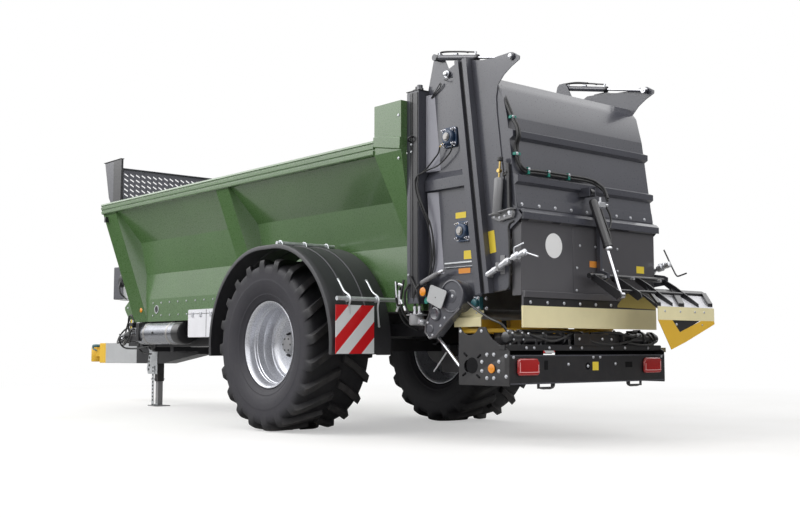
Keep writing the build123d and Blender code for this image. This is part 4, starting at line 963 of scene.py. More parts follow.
couplings.append(lathe([(0, 0), (0, .026), (.03, .03), (.06, .022), (.06, 0)], (at(-1.665), .89, .985),
                       (.3, 1, .2), 16))
piece("motor_couplings", couplings, zinc)
motorHoses = [
    [(-1.553, .905, 1.13), (-1.556, .915, 1.2), (-1.59, .925, 1.27), (-1.628, .92, 1.31)],
    [(-1.612, .905, 1.13), (-1.612, .915, 1.19), (-1.6, .925, 1.26), (-1.56, .93, 1.33), (-1.52, .94, 1.39)],
    [(-1.505, .93, 1.32), (-1.47, .945, 1.25), (-1.46, .93, 1.13), (-1.5, .88, 1.02), (-1.56, .8, .96)],
    [(-1.44, .935, 1.36), (-1.425, .945, 1.25), (-1.4, .93, 1.13), (-1.42, .87, 1.02), (-1.48, .78, .96)],
    [(-1.39, .93, 1.3), (-1.37, .93, 1.2), (-1.34, .9, 1.09), (-1.33, .82, .99), (-1.35, .7, .93)],
    [(-1.345, .925, 1.34), (-1.3, .905, 1.23), (-1.31, .87, 1.11), (-1.37, .8, 1.0)]]
hoses("motor_hoses", motorHoses, .0105)
loomBits = [pin((-1.389, .935, 1.15), (-1.389, .935, 1.27), .015, 12),
            pin((-1.345, .935, 1.21), (-1.33, .935, 1.35), .008, 10),
            pin((-1.44, .94, 1.31), (-1.38, .94, 1.325), .013, 10),
            pin((-1.425, .94, 1.15), (-1.405, .94, 1.195), .013, 10),
            pin((-1.47, .94, 1.09), (-1.45, .94, 1.13), .012, 10),
            pin((-1.35, .94, 1.09), (-1.375, .94, 1.13), .011, 10)]
piece("loom_fittings", loomBits, zinc)
piece("hose_tag", lathe([(0, 0), (0, .03), (.012, .03), (.012, 0)], (at(-1.713), .905, 1.172), (.15, 1, .1),
                        16), clipGreen)
skirtBearing = joined(slab(-2.285, -2.212, labelFace, .852, 1.082, 1.186),
              lathe([(0, .036), (.03, .034), (.036, .026), (.036, 0)], (at(-2.248), .852, 1.134), (0, 1, 0),
                    20))
piece("skirt_bearing", skirtBearing, tealFitting, bevel=.004)
piece("skirt_bearing_bolts", bolts([(-2.228, .852, 1.176), (-2.27, .852, 1.174), (-2.228, .852, 1.094),
                                    (-2.27, .852, 1.096), (-2.318, labelFace, 1.17),
                                    (-2.322, labelFace, 1.092)], (0, 1, 0), .011, .012), chrome)
print("housing details made")

# hood cylinders: gland, hard pipes and hoses on top

barrelStart, barrelEnd = np.array([-1.757, 3.27]), np.array([-2.266, 3.165])
along = (barrelEnd - barrelStart) / np.linalg.norm(barrelEnd - barrelStart)
above = np.array([along[1], -along[0]])
if above[1] < 0:
    above = -above


def onBarrel(share, lift, y):
    x, z = barrelStart + (barrelEnd - barrelStart) * share + above * lift
    return (x, y, z)


def barrelLine(rows, y, radius):
    # rows: share of the barrel's length, lift off its axis, step sideways
    return line([onBarrel(share, lift, y + aside) for share, lift, aside in rows], radius)


hardPipe = [(.1, .022, .006), (.12, .045, .006), (.3, .052, .006), (.8, .047, .006), (.93, .043, .006),
            (.955, .024, .006)]
feedHose = [(.02, .035, -.012), (.14, .05, -.012), (.4, .054, -.012), (.66, .052, -.012), (.74, .046, -.012)]
loopHose = [(.02, .04, .012), (.2, .05, .024), (.34, .054, .03), (.48, .053, .03), (.57, .052, .024),
            (.56, .056, .012)]
barrelY = .838
for s, word in flanks:
    y = s * barrelY
    gland = turnedRod(onBarrel(.955, 0, y), onBarrel(1.02, 0, y),
                      [(0, .0245), (.1, .0285), (.8, .0285), (.85, .024), (1, .022), (1, .0135)])
    ringEnd = turnedRod(onBarrel(.05, 0, y), onBarrel(.09, 0, y),
                        [(0, .0245), (.1, .027), (.9, .027), (1, .0245)])
    piece("hood_gland_" + word, [gland, ringEnd], blackPaint, "hood_barrels")
    runs = [barrelLine(hardPipe, y, .0065), barrelLine(feedHose, y, .0075)]
    if s < 0:
        runs.append(barrelLine(loopHose, y, .0075))
    piece("hood_pipes_" + word, runs, hoseRubber, "hood_barrels")
    bits = [pin(onBarrel(.955, .018, y + .006), onBarrel(.955, .05, y + .006), .01, 10),
            pin(onBarrel(.1, .018, y + .006), onBarrel(.1, .04, y + .006), .01, 10),
            pin(onBarrel(.44, .03, y), onBarrel(.52, .03, y), .011, 10)]
    piece("hood_fittings_" + word, bits, zinc, "hood_barrels")

# hood: black strips laid in the grooves of the posts, painted shade; rubber edge, small cylinder, brackets
# and spindles

wallLine = {"foot": (-2.732, 1.842), "top": (-2.626, 2.61)}


def wallFace(z):
    (x0, z0), (x1, z1) = wallLine["foot"], wallLine["top"]
    return x0 + (x1 - x0) * (z - z0) / (z1 - z0)


postShift = .075
cheekY = .8785
cheekEdge = [(-2.7, 1.762), (-2.655, 1.745), (-2.64, 1.7), (-2.648, 1.6), (-2.648, 1.3), (-2.63, 1.238),
             (-2.58, 1.224), (-2.44, 1.213), (-2.41, 1.212)]
for s, word in flanks:
    m = postShift
    # painted shade: black strips laid in the post's groove and slit
    groove = plateXZ([(-2.0555 - m, 3.14), (-2.1035 - m, 3.14), (-2.357 - m, 1.212), (-2.309 - m, 1.212)],
                     min(s * .9065, s * .911), max(s * .9065, s * .911))
    slit = plateXZ([(-2.006 - m, 3.12), (-2.016 - m, 3.12), (-2.265 - m, 1.215), (-2.255 - m, 1.215)],
                   min(s * .8765, s * .88), max(s * .8765, s * .88))
    piece("post_groove_" + word, [groove, slit], blackPaint, "hood")
    capBolt = lathe([(0, .02), (.012, .02), (.016, .014), (.016, 0)], (at(-2.69), s * .8905, 3.078),
                    (0, s, 0), 20)
    edge = line([(x, s * cheekY, z) for x, z in cheekEdge], .008, 8)
    piece("cheek_edge_" + word, edge, hoseRubber, "hood")
    piece("horn_caps_" + word, capBolt, zinc, "hood")

stand = turnedRod((-2.551, .918, 1.822), (-2.577, .918, 2.118),
                  [(0, 0), (0, .03), (.03, .036), (.94, .036), (.97, .032), (1, .018), (1, 0)], 28)
piece("stay_cylinder", stand, dullGrey, "hood", slotName="grey_paint")
piece("stay_cylinder_pin", [pin((-2.579, .918, 2.11), (-2.592, .918, 2.25), .008),
                            pin((-2.584, .905, 2.17), (-2.584, .935, 2.17), .016)], brass, "hood")
piece("stay_cylinder_knob", [lathe([(0, 0), (0, .018), (.006, .024), (.03, .024), (.036, .016), (.036, 0)],
                                   (at(-2.592), .918, 2.245), (-.1, 0, 1), 20),
                             plateXZ([(-2.64, 2.225), (-2.662, 2.225), (-2.676, 1.83), (-2.65, 1.83)], .877,
                                     .9),
                             plateXZ([(-2.6, 2.15), (-2.655, 2.165), (-2.655, 2.14), (-2.6, 2.125)], .88,
                                     .9)], blackPaint, "hood", bevel=.0015)
shelf = joined(plateXZ([(-2.48, 1.8), (-2.48, 1.822), (-2.53, 1.835), (-2.7, 1.855), (-2.715, 1.825),
                        (-2.7, 1.79), (-2.56, 1.77)], .877, .905),
               plateXZ([(-2.48, 1.822), (-2.48, 1.83), (-2.72, 1.862), (-2.72, 1.854)], .877, .94))
piece("stay_bracket", shelf, dullGrey, "hood", bevel=.002)
piece("stay_bolts", [bolts([(-2.682, .905, 1.832)], (0, 1, 0), .018, .014),
                     bolts([(-2.515, .905, 1.808), (-2.57, .905, 1.8), (-2.625, .905, 1.806)], (0, 1, 0),
                           .008)], zinc, "hood")


def spindle(y):
    s = 1 if y > 0 else -1
    sleeve = turnedRod((-2.44, y, 1.345), (-2.702, y, 1.46), [(0, 0), (0, .012), (.04, .012), (.05, .023),
                                                              (.3, .023), (.31, .026), (.36, .026),
                                                              (.37, .023), (.78, .023), (.8, .029),
                                                              (.93, .029), (.95, .02), (1, .02)])
    screw = turnedRod((-2.7, y, 1.459), (-2.866, y, 1.507), [(0, .015), (.2, .015), (.22, .03), (.5, .032),
                                                             (.52, .017), (.72, .017), (.74, .026),
                                                             (.96, .026), (1, 0)])
    if s > 0:
        crank = line([(-2.86, y, 1.505), (-2.905, y + .01, 1.49), (-2.96, y + .02, 1.474),
                      (-3.02, y + .03, 1.457)], .0065)
        lever = line([(-2.745, y, 1.48), (-2.752, y + .01, 1.54), (-2.8, y + .015, 1.556),
                      (-2.858, y + .02, 1.572)], .006)
        return joined(sleeve, screw, crank, lever)
    hub = turnedRod((-2.74, -.945, 1.49), (-2.8, -.947, 1.5),
                    [(0, 0), (0, .03), (.9, .03), (1, .024), (1, 0)])
    return joined(sleeve, screw, hub)


farCrank = line([(-2.785, -.95, 1.638), (-2.815, -.95, 1.58), (-2.843, -.95, 1.524), (-2.876, -.95, 1.462),
                 (-2.906, -.95, 1.41), (-2.925, -.952, 1.398), (-2.96, -.956, 1.406), (-3.008, -.96, 1.42)],
                .007)
piece("crank_right", farCrank, blackPaint, "hood")
for s, word in flanks:
    piece("spindle_" + word, spindle(s * .925), zinc, "hood", slotName="silver_metal")
    yoke = joined(slab(-2.59, -2.562, s * .877, s * .95, 1.372, 1.44),
                  slab(-2.6, -2.552, s * .8765, s * .884, 1.35, 1.5),
                  slab(-2.47, -2.43, s * .877, s * .935, 1.33, 1.362))
    piece("spindle_yoke_" + word, yoke, dullGrey, "hood", bevel=.002)
sticker("label_cheek", -2.492, -2.392, 1.525, 1.704, .8765, decalYellow, "hood", tilt=-.12)

# hood wall: hoses with clips, bolted strip, label discs, flap panel and rail

hosePath = [(-2.52, .858, 2.88), (-2.585, .856, 2.75), (-2.65, .85, 2.609), (-2.7, .846, 2.52),
            (-2.714, .846, 2.44), (-2.69, .848, 2.37), (-2.696, .84, 2.272), (-2.708, .806, 2.19),
            (-2.716, .75, 2.158), (-2.722, .64, 2.16), (-2.722, .5, 2.162), (-2.722, .256, 2.162),
            (-2.728, .05, 2.16), (-2.745, -.06, 2.14), (-2.8, -.105, 2.08), (-2.855, -.085, 1.99)]
second = [(x - .004, y - .022 if z > 2.2 else y, z if z > 2.2 else z + .021) for x, y, z in hosePath]
piece("wall_hoses", [line(hosePath, .0115), line(second, .0115)], hoseRubber, "hood")
clips = []
for (x, y, z), (a, b, c) in (((-2.655, .838, 2.6), (.016, .03, .012)),
                             ((-2.692, .833, 2.3), (.016, .03, .012)),
                             ((-2.718, .735, 2.172), (.016, .012, .028)),
                             ((-2.722, .502, 2.173), (.016, .012, .028)),
                             ((-2.722, .256, 2.173), (.016, .012, .028))):
    clips.append(slab(x - a, x + a, y - b, y + b, z - c, z + c))
piece("hose_clips", clips, clipGreen, "hood", bevel=.003)
clipHeads = [(-2.672, .85, 2.6), (-2.709, .845, 2.3), (-2.735, .735, 2.184), (-2.739, .502, 2.186),
             (-2.739, .256, 2.186)]
piece("clip_bolts", bolts(clipHeads, (-1, 0, 0), .01), zinc, "hood")

strip = {"top": 1.956, "foot": 1.872, "out": .006, "bolt": 1.897}
stripPart = plateXZ([(wallFace(strip["top"]) - strip["out"], strip["top"]),
                     (wallFace(strip["foot"]) - strip["out"], strip["foot"]),
                     (wallFace(strip["foot"]) + .002, strip["foot"]),
                     (wallFace(strip["top"]) + .002, strip["top"])], -.868, .868)
piece("wall_strip", stripPart, graphitePaint, "hood", bevel=.001)
stripYs = [.82, .62, .428, .23, .032, -.165, -.36, -.552, -.747]
piece("wall_strip_bolts",
      bolts([(wallFace(strip["bolt"]) - strip["out"], y, strip["bolt"]) for y in stripYs], (-1, 0, .138),
            .0105), zinc, "hood")

flapFace = -2.748
panelSheet = slab(flapFace - .0035, flapFace + .001, -.838, .24, 1.219, 1.762)
piece("flap_panel", panelSheet, panelPaint, "flap", bevel=.0015)
flapBolts = [(flapFace - .0035, y, z) for y, z in ((.152, 1.609), (-.044, 1.61), (.192, 1.425),
                                                   (-.139, 1.422), (.2, 1.24), (-.335, 1.61),
                                                   (-.335, 1.422))]
railBolts = [(-2.7648, .769 - .198 * i, 1.128) for i in range(9)]
piece("flap_bolts", [bolts(flapBolts, (-1, 0, 0), .0085), bolts(railBolts, (-1, 0, 0), .0105)], zinc, "flap")
piece("flap_rubber", slab(-2.7648, -2.7618, -.845, .845, 1.102, 1.163), blackPaint, "flap", bevel=.001)


signDisc = {"y": .47, "z": 1.589, "radius": .1}
discProfile = [(0, signDisc["radius"]), (.0015, signDisc["radius"]), (.002, signDisc["radius"] * .97),
               (.002, 0)]
piece("sign_disc", lathe(discProfile, (at(flapFace), signDisc["y"], signDisc["z"]), (-1, 0, 0), 48),
      whiteDecal, "flap")
piece("flap_label_orange", slab(flapFace - .005, flapFace - .0034, -.102, .033, 1.437, 1.489), decalOrange,
      "flap", bevel=.0004)
piece("flap_label_yellow", slab(flapFace - .005, flapFace - .0034, -.7, -.594, 1.416, 1.477), decalYellow,
      "flap", bevel=.0004)
plankEnds = slab(-2.7634, -2.762, -.849, .849, .9305, 1.0995)
piece("plank_face", plankEnds, creamStrip, "flap", bevel=.0005)
print("hood details made")

# rear portal: raised band that carries on the top rail, handle and bolts

bandLine = [(-1.1, 2.562, 2.648), (-1.142, 2.556, 2.65), (-1.3, 2.528, 2.628), (-1.466, 2.5, 2.6)]
for s, word in flanks:
    rows = [[(at(x), s * .9905, low - .008), (at(x), s * 1.0045, low), (at(x), s * 1.0045, high),
             (at(x), s * .9905, high + .008)] for x, low, high in bandLine]
    piece("portal_band_" + word, capped(np.array(rows)), greenPaint, bevel=.003)
piece("portal_bolts", [bolts([(-1.44, .993, 2.8), (-1.44, .993, 2.42)], (0, 1, 0), .009),
                             bolts([(-1.404, -.993, 2.455), (-1.44, -.993, 2.8)], (0, -1, 0), .009)], zinc)
handle = [(-1.52, .9225, 2.56), (-1.522, .955, 2.566), (-1.534, .965, 2.58), (-1.548, .955, 2.594),
          (-1.55, .9225, 2.6)]
piece("post_handle", line(handle, .008, 6, 10), blackPaint)

# hopper sides: bolt rows along the foot, sight hole, reflector

footBolts = [(x, .6872, 1.33) for x in (3.61, 3.405, 3.195, 2.994, 2.785, 2.577, 2.374, 2.176)]
footBolts += [(x, .6872, 1.175) for x in (3.614, 3.404, 3.189, 2.976, 2.776)]
for s, word in flanks:
    piece("foot_bolts_" + word, bolts([(x, s * y, z) for x, y, z in footBolts], (0, s, 0), .0085), galvanised)
    piece("sight_ring_" + word, lathe([(-.004, .052), (.006, .052), (.006, .04), (-.004, .04)],
                                      (at(3.521), s * .686, 1.25), (0, s, 0), 28), galvanised)
    # painted shade: the sight hole is a black disc
    piece("sight_hole_" + word, lathe([(0, .041), (.002, .041), (.002, 0)], (at(3.521), s * .6875, 1.25),
                                      (0, s, 0), 28), blackPaint)
piece("reflector_front", reflectorPart(*reflectorPlaces["front"]), orangeGlass)

# air tank with its black end and strap, box with a lid seam and latches

low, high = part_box("air_tank")
tankR = (high[2] - low[2]) / 2
tankC = (0, (low[1] + high[1]) / 2, (low[2] + high[2]) / 2)
piece("tank_cover", lathe([(at(2.848), 0), (at(2.848), tankR * .8), (at(2.856), tankR * .96),
                           (at(2.87), tankR + .003), (at(3.0), tankR + .003), (at(3.004), tankR - .001)],
                          tankC, (1, 0, 0), 48), blackPaint)
straps = [lathe([(at(x) - .02, tankR - .001), (at(x) - .02, tankR + .004), (at(x) + .02, tankR + .004),
                 (at(x) + .02, tankR - .001)], tankC, (1, 0, 0), 48) for x in (3.12, 3.7)]
piece("tank_straps", straps, bareSteel, bevel=.001)
piece("tank_bung", lathe([(0, .016), (.01, .016), (.014, .01), (.014, 0)],
                         (at(3.452), high[1] - .003, .961), (0, 1, 0), 16), blackPaint)
low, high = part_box("storage_box")
seam = [slab(2.127, 2.133, high[1] - .001, high[1] + .002, low[2] + .004, high[2] - .004),
        box(low[0] + .004, high[0] - .004, high[1] - .001, high[1] + .002, high[2] - .052, high[2] - .047)]
piece("box_seams", seam, blackPaint)
latches = [box(at(x) - .018, at(x) + .018, high[1] - .001, high[1] + .012, high[2] - .085, high[2] - .03)
           for x in (2.03, 2.25, 2.43)]
piece("box_latches", latches, zinc, bevel=.003)

# jack: side plate with holes, foot, lock pin; drawbar brackets, coupling cap, valves and hoses

plateRows = [(.75, 4.568, 4.789), (.498, 4.568, 4.859), (.43, 4.568, 4.824)]
jackPlate = plateXZ([(x0, z) for z, x0, x1 in plateRows] + [(x1, z) for z, x0, x1 in plateRows[::-1]],
                    .1105, .1185)
piece("jack_plate", jackPlate, galvanised, bevel=.002)
# painted shade: the holes in the side plate are black discs
holes = [lathe([(0, .018), (.0015, .018), (.0015, 0)], (at(4.8 - .012 * (i % 2)), .1182, .7 - .052 * i),
               (0, 1, 0), 16) for i in range(5)]
piece("jack_holes", holes, blackPaint)
piece("jack_bracket", [slab(4.41, 4.93, .108, .117, .775, .8), slab(4.41, 4.93, -.117, -.108, .775, .8)],
      blackPaint, bevel=.003)
piece("jack_pin", [pin((4.76, -.1, .36), (4.76, .1, .36), .009),
                   pin((4.72, .0705, .86), (4.72, .13, .86), .012),
                   line([(4.72, .125, .86), (4.75, .14, .8), (4.75, .14, .74)], .007)], zinc)
strip = [plateXZ([(4.624, .014), (4.624, .545), (4.686, .545), (4.686, .014)], .125, .131),
         slab(4.63, 4.68, .06, .131, .0125, .032)]
piece("jack_strip", strip, galvanised, "jack", bevel=.001)
# painted shade: the holes in the strip are black discs
stripHoles = [lathe([(0, .014), (.001, .014), (.001, 0)], (at(4.655), .1308, .085 + .048 * i), (0, 1, 0),
                    12) for i in range(10)]
piece("jack_strip_holes", stripHoles, holeBlack, "jack")
low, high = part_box("coupling")
piece("coupling_head", lathe([(0, .05), (0, .07), (.012, .076), (.205, .076), (.215, .07), (.215, 0)],
                             (at(6.692), 0, .5765), (0, 0, 1), 36), yellowPaint)
cap = [lathe([(0, .064), (.006, .07), (.026, .068), (.04, .052), (.044, .03), (.044, 0)],
             (at(6.692), 0, high[2] - .0485), (0, 0, 1), 32),
       line([(6.69, .05, .8), (6.65, .085, .79), (6.6, .088, .76), (6.56, .06, .745)], .01, 6, 8)]
piece("coupling_cap", cap, tealFitting)
piece("coupling_bolts", bolts([(6.43, 0.0, .76), (6.52, 0.0, .76)], (0, 0, 1), .014, .011), zinc)

valves = [turnedRod((4.3, .42, 1.0), (4.56, .44, 1.01), [(0, 0), (0, .05), (.1, .058), (.55, .058),
                                                         (.56, .045), (.9, .045), (1, .03), (1, 0)], 20),
          turnedRod((4.56, .44, .9), (4.76, .44, .905), [(0, 0), (0, .04), (.5, .048), (.9, .048), (1, .02),
                                                         (1, 0)], 20), slab(4.3, 4.7, .3, .47, .8, .86),
          slab(4.64, 4.7, .39, .46, 1.02, 1.14), slab(4.82, 5.01, .38, .45, .84, .93)]
piece("valve_bodies", valves, blackPaint, bevel=.003)
piece("valve_tag", slab(4.605, 4.655, .452, .47, 1.01, 1.16), decalYellow, bevel=.004)
bits = [pin((4.38, .475, 1.04), (4.38, .5, 1.04), .02), pin((4.48, .48, .96), (4.48, .505, .96), .016),
        pin((4.7, .485, .905), (4.7, .505, .905), .018), pin((4.86, .45, .9), (4.9, .475, .905), .012),
        pin((4.36, .44, 1.055), (4.36, .44, 1.13), .013), pin((4.43, .44, 1.06), (4.43, .44, 1.12), .012)]
piece("valve_fittings", bits, zinc)
frontHoses = [[(4.36, .44, 1.12), (4.38, .45, 1.2), (4.48, .47, 1.19), (4.56, .48, 1.09), (4.6, .48, .96),
               (4.7, .46, .88), (4.9, .42, .85), (5.15, .32, .85)],
              [(4.43, .44, 1.11), (4.5, .46, 1.18), (4.64, .48, 1.17), (4.72, .49, 1.05), (4.8, .48, .93),
               (4.96, .45, .9), (5.07, .42, .96), (5.1, .38, .9), (5.16, .3, .85)],
              [(4.3, .3, .9), (4.2, .42, .8), (4.05, .48, .76), (3.9, .5, .8), (3.8, .56, .9)],
              [(4.7, .5, .905), (4.86, .53, .85), (5.01, .48, .86), (5.08, .4, .96), (4.98, .36, 1.04),
               (4.86, .36, .98)],
              [(4.34, .38, 1.13), (4.33, .36, 1.26), (4.4, .38, 1.4), (4.43, .42, 1.42)],
              [(4.16, .56, .9), (4.15, .6, .8), (4.12, .56, .72), (4.0, .5, .7)]]
brakeBodies = [turnedRod((3.85, .66, .985), (4.18, .66, .985), [(0, 0), (0, .07), (.06, .082), (.4, .082),
                                                         (.42, .074), (.86, .074), (.95, .06), (1, .02),
                                                         (1, 0)], 24),
        turnedRod((4.25, .6, .93), (4.25, .76, .93), [(0, 0), (0, .05), (.1, .056), (.7, .056), (.8, .044),
                                                      (1, .03), (1, 0)], 24),
        slab(3.8, 4.06, .52, .785, .862, .93), slab(3.792, 3.86, .51, .79, .9, 1.085),
        slab(4.08, 4.34, .54, .64, .88, 1.02), slab(4.06, 4.15, .56, .74, 1.05, 1.095)]
piece("brake_valves", brakeBodies, blackPaint, bevel=.004)
brakeBits = [pin((3.93, .738, 1.01), (3.93, .77, 1.01), .018), pin((4.05, .73, .96), (4.05, .76, .96), .014),
            pin((4.25, .758, .93), (4.25, .778, .93), .022), pin((4.12, .7, 1.092), (4.12, .7, 1.13), .014)]
piece("brake_fittings", brakeBits, zinc, bevel=.001)
brakeHoses = [[(3.93, .768, 1.01), (3.96, .8, 1.0), (4.02, .806, .9), (4.14, .8, .82), (4.3, .74, .83),
               (4.42, .64, .88), (4.56, .52, .86)],
              [(4.12, .7, 1.128), (4.16, .7, 1.19), (4.26, .69, 1.17), (4.33, .66, 1.06), (4.42, .6, .98),
               (4.52, .53, .96)],
              [(4.25, .776, .93), (4.28, .79, .91), (4.32, .78, .85), (4.3, .72, .78), (4.18, .64, .77),
               (4.02, .56, .78)]]
hoses("brake_hoses", brakeHoses, .011)
footPlate = [(4.12, 1.14), (4.12, 1.4), (4.25, 1.408), (4.42, 1.3), (4.41, 1.262), (4.29, 1.14)]
piece("foot_plate", plateXZ(footPlate, .664, .672), greenPaint, bevel=.002)
piece("foot_plate_bolts", bolts([(4.24, .672, 1.382), (4.136, .672, 1.326), (4.33, .672, 1.29)], (0, 1, 0),
                                .011), galvanised)
hoses("front_hoses", frontHoses, .011)

# control box: door with rounded edges, cover, knob and cable

low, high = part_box("control_box")
door = box(low[0] + .03, high[0] - .02, high[1] - .001, high[1] + .014, low[2] + .02, high[2] - .02)
piece("box_door", door, greyPaint, bevel=.008, segments=3)
piece("box_cover", slab(4.5, 4.8, .45, .655, 1.415, 1.845), graphitePaint, bevel=.012, segments=3)
knob = turnedRod((4.545, .654, 1.65), (4.545, .682, 1.65), [(0, .084), (.5, .084), (.7, .074), (.72, .044),
                                                            (1, .04), (1, 0)], 28)
cable = line([(4.545, .676, 1.65), (4.53, .7, 1.56), (4.49, .69, 1.47), (4.43, .62, 1.4)], .012)
piece("box_knob", [knob, cable], blackPaint)

# guard over the front wall: sheet with rows of slanted slots between folded posts

slots = {"rows": 5, "columns": 22, "low": 2.69, "high": 3.01, "half": .88, "long": .026, "tall": .0085,
         "slant": .014, "x": 4.11, "thick": .004}


def slottedSheet():
    g = slots
    yEdge = np.linspace(-g["half"], g["half"], g["columns"] + 1)
    zEdge = np.linspace(g["low"], g["high"], g["rows"] + 1)
    yMid, zMid = np.meshgrid((yEdge[1:] + yEdge[:-1]) / 2, (zEdge[1:] + zEdge[:-1]) / 2)
    halfY, halfZ = (yEdge[1] - yEdge[0]) / 2, (zEdge[1] - zEdge[0]) / 2
    corner = np.array([(-1, -1), (1, -1), (1, 1), (-1, 1)])
    outer = np.stack([yMid[..., None] + halfY * corner[:, 0], zMid[..., None] + halfZ * corner[:, 1]], -1)
    inner = np.stack([yMid[..., None] + g["long"] * corner[:, 0],
                      zMid[..., None] + g["tall"] * corner[:, 1] + g["slant"] * corner[:, 0]], -1)
    rings = np.stack([outer, inner, inner, outer], 2).reshape(-1, 4, 4, 2)
    depth = np.array([0, 0, g["thick"], g["thick"]])[None, :, None]
    points = np.stack([np.broadcast_to(at(g["x"]) + depth, rings.shape[:3]), rings[..., 0], rings[..., 1]],
                      -1)
    base = (np.arange(len(points)) * 16)[:, None, None]
    ring = np.arange(3)[:, None, None] * 4
    turn = np.stack([np.arange(4), np.roll(np.arange(4), -1)], -1)[None]
    quads = np.concatenate([ring + turn, (ring + 4 + turn)[..., ::-1]], -1).reshape(1, 12, 4) + base
    return points.reshape(-1, 3), quads.reshape(-1, 4).tolist()


guardFoot, guardTop = 2.622, 3.17
guardParts = [slab(4.11, 4.114, -.9, .9, guardFoot, 2.6905), slab(4.11, 4.114, -.9, .9, 3.0095, 3.058),
              slab(4.11, 4.114, -.904, -.8795, guardFoot, 3.058),
              slab(4.11, 4.114, .8795, .904, guardFoot, 3.058), slab(4.08, 4.116, -.93, .93, 3.05, 3.06)]
piece("guard_frame_sheet", guardParts, paleGuard, replaces=("front_guard",), bevel=.0015)
piece("guard_slots", slottedSheet(), paleGuard, replaces=("front_guard",))
for s, word in flanks:
    wing = [(4.13, guardFoot), (4.33, guardFoot), (4.4, 2.7), (4.53, guardTop), (4.13, guardTop)]
    piece("guard_post_" + word, slab(4.05, 4.268, s * .912, s * .943, guardFoot, guardTop), blackPaint,
          replaces=("front_guard",), bevel=.004)
    piece("guard_wing_" + word, plateXZ(wing, s * .932, s * .938), graphitePaint, replaces=("front_guard",),
          bevel=.003)
    piece("guard_cap_" + word, slab(4.05, 4.54, s * .9, s * .95, guardTop, 3.178), blackPaint,
          replaces=("front_guard",), bevel=.002)
piece("rail_clip", slab(4.335, 4.375, .93, 1.006, 2.38, 2.45), blackPaint, bevel=.004)
print("front details made")

# gear beam: shaft across the machine with its flanges, saddles and plates, shelf lip, bolts, hoses and
# fittings

shaftX, shaftZ, beamBack = -2.66, .852, -2.622
shaftLine = [(.955, 0), (.955, .03), (.948, .044), (.905, .044), (.902, .062), (.88, .062), (.876, .05),
             (.796, .05), (.793, .064), (.772, .064), (.768, .047), (.556, .047), (.552, .064), (.53, .064),
             (.526, .033), (.322, .033), (.318, .056), (.3, .056), (.296, .03), (-.43, .03), (-.434, .06),
             (-.456, .06), (-.46, .035), (-.556, .035), (-.56, .05), (-.73, .05), (-.735, .064),
             (-.757, .064), (-.761, .046), (-.88, .046), (-.884, .06), (-.905, .06), (-.908, .042),
             (-.955, .042), (-.955, 0)]
piece("beam_shaft", lathe(shaftLine, (at(shaftX), 0, shaftZ), (0, 1, 0), 28), blackPaint, smoothAngle=30)
ringTurn = np.arange(6) * pi / 3 + .3
flangeBolts = [(shaftX + .052 * cos(a), y, shaftZ + .052 * sin(a)) for a in ringTurn
               for y in (.903, .794, .553)]
farBolts = [(shaftX + .052 * cos(a), y, shaftZ + .052 * sin(a)) for a in ringTurn for y in (-.757, -.905)]
piece("beam_flange_bolts", [bolts(flangeBolts, (0, 1, 0), .007), bolts(farBolts, (0, -1, 0), .007)], zinc)
saddles = [slab(-2.705, beamBack, y - .014, y + .014, .79, .842) for y in (.84, .64, .24, -.1, -.52, -.82)]
saddles += [slab(-2.722, -2.712, -.32, .2, .792, .888),
            slab(-2.7, beamBack, -.01, .07, .79, .9), slab(-2.69, -2.63, -.42, -.35, .79, .893),
            slab(-2.67, -2.62, .4, .47, .884, .915), slab(-2.69, beamBack, -.68, -.6, .898, .92)]
piece("beam_saddles", saddles, blackPaint, bevel=.003)
piece("shelf_lip", slab(-2.7065, -2.7, -.978, .978, .75, .796), blackPaint, bevel=.0015)
lipBolts = [(-2.7065, y, .772) for y in (.757, .669, .49, .234, .092, -.302, -.474, -.797)]
plateBolts = [(-2.722, y, z) for y, z in ((.139, .845), (-.156, .846), (-.275, .843))]
piece("shelf_bolts", bolts(lipBolts + plateBolts, (-1, 0, 0), .0095), zinc)
beamHoses = [[(-2.655, .835, .895), (-2.665, .76, .905), (-2.68, .64, .907), (-2.69, .48, .902),
              (-2.69, .342, .904), (-2.68, .2, .898), (-2.66, .06, .896)],
             [(-2.7, .72, .88), (-2.715, .62, .85), (-2.718, .48, .825), (-2.716, .36, .845),
              (-2.7, .24, .88), (-2.69, .18, .885)],
             [(-2.69, -.04, .89), (-2.712, -.2, .9), (-2.715, -.38, .896), (-2.712, -.54, .87),
              (-2.705, -.64, .88)],
             [(-2.7, .06, .86), (-2.72, -.04, .82), (-2.72, -.18, .806), (-2.718, -.42, .812),
              (-2.712, -.6, .85), (-2.7, -.7, .88)],
             [(-2.64, .9, .9), (-2.6, .93, .96), (-2.5, .945, 1.0), (-2.38, .95, 1.06), (-2.2, .9, 1.14)],
             [(-2.69, -.82, .89), (-2.72, -.86, .83), (-2.722, -.8, .8), (-2.72, -.64, .8),
              (-2.715, -.5, .815)]]
hoses("beam_hoses", beamHoses, .0105)
beamBits = [pin((-2.655, .835, .88), (-2.655, .835, .905), .015),
            pin((-2.69, .72, .88), (-2.702, .715, .88), .015),
            pin((-2.66, .04, .88), (-2.66, .04, .905), .015),
            pin((-2.69, -.7, .88), (-2.706, -.7, .88), .015),
            pin((-2.69, -.82, .895), (-2.692, -.824, .905), .014)]
piece("beam_fittings", beamBits, zinc)

# rear beam: lamp plates, holes, loops, labels; bolted consoles with a bush in the notch

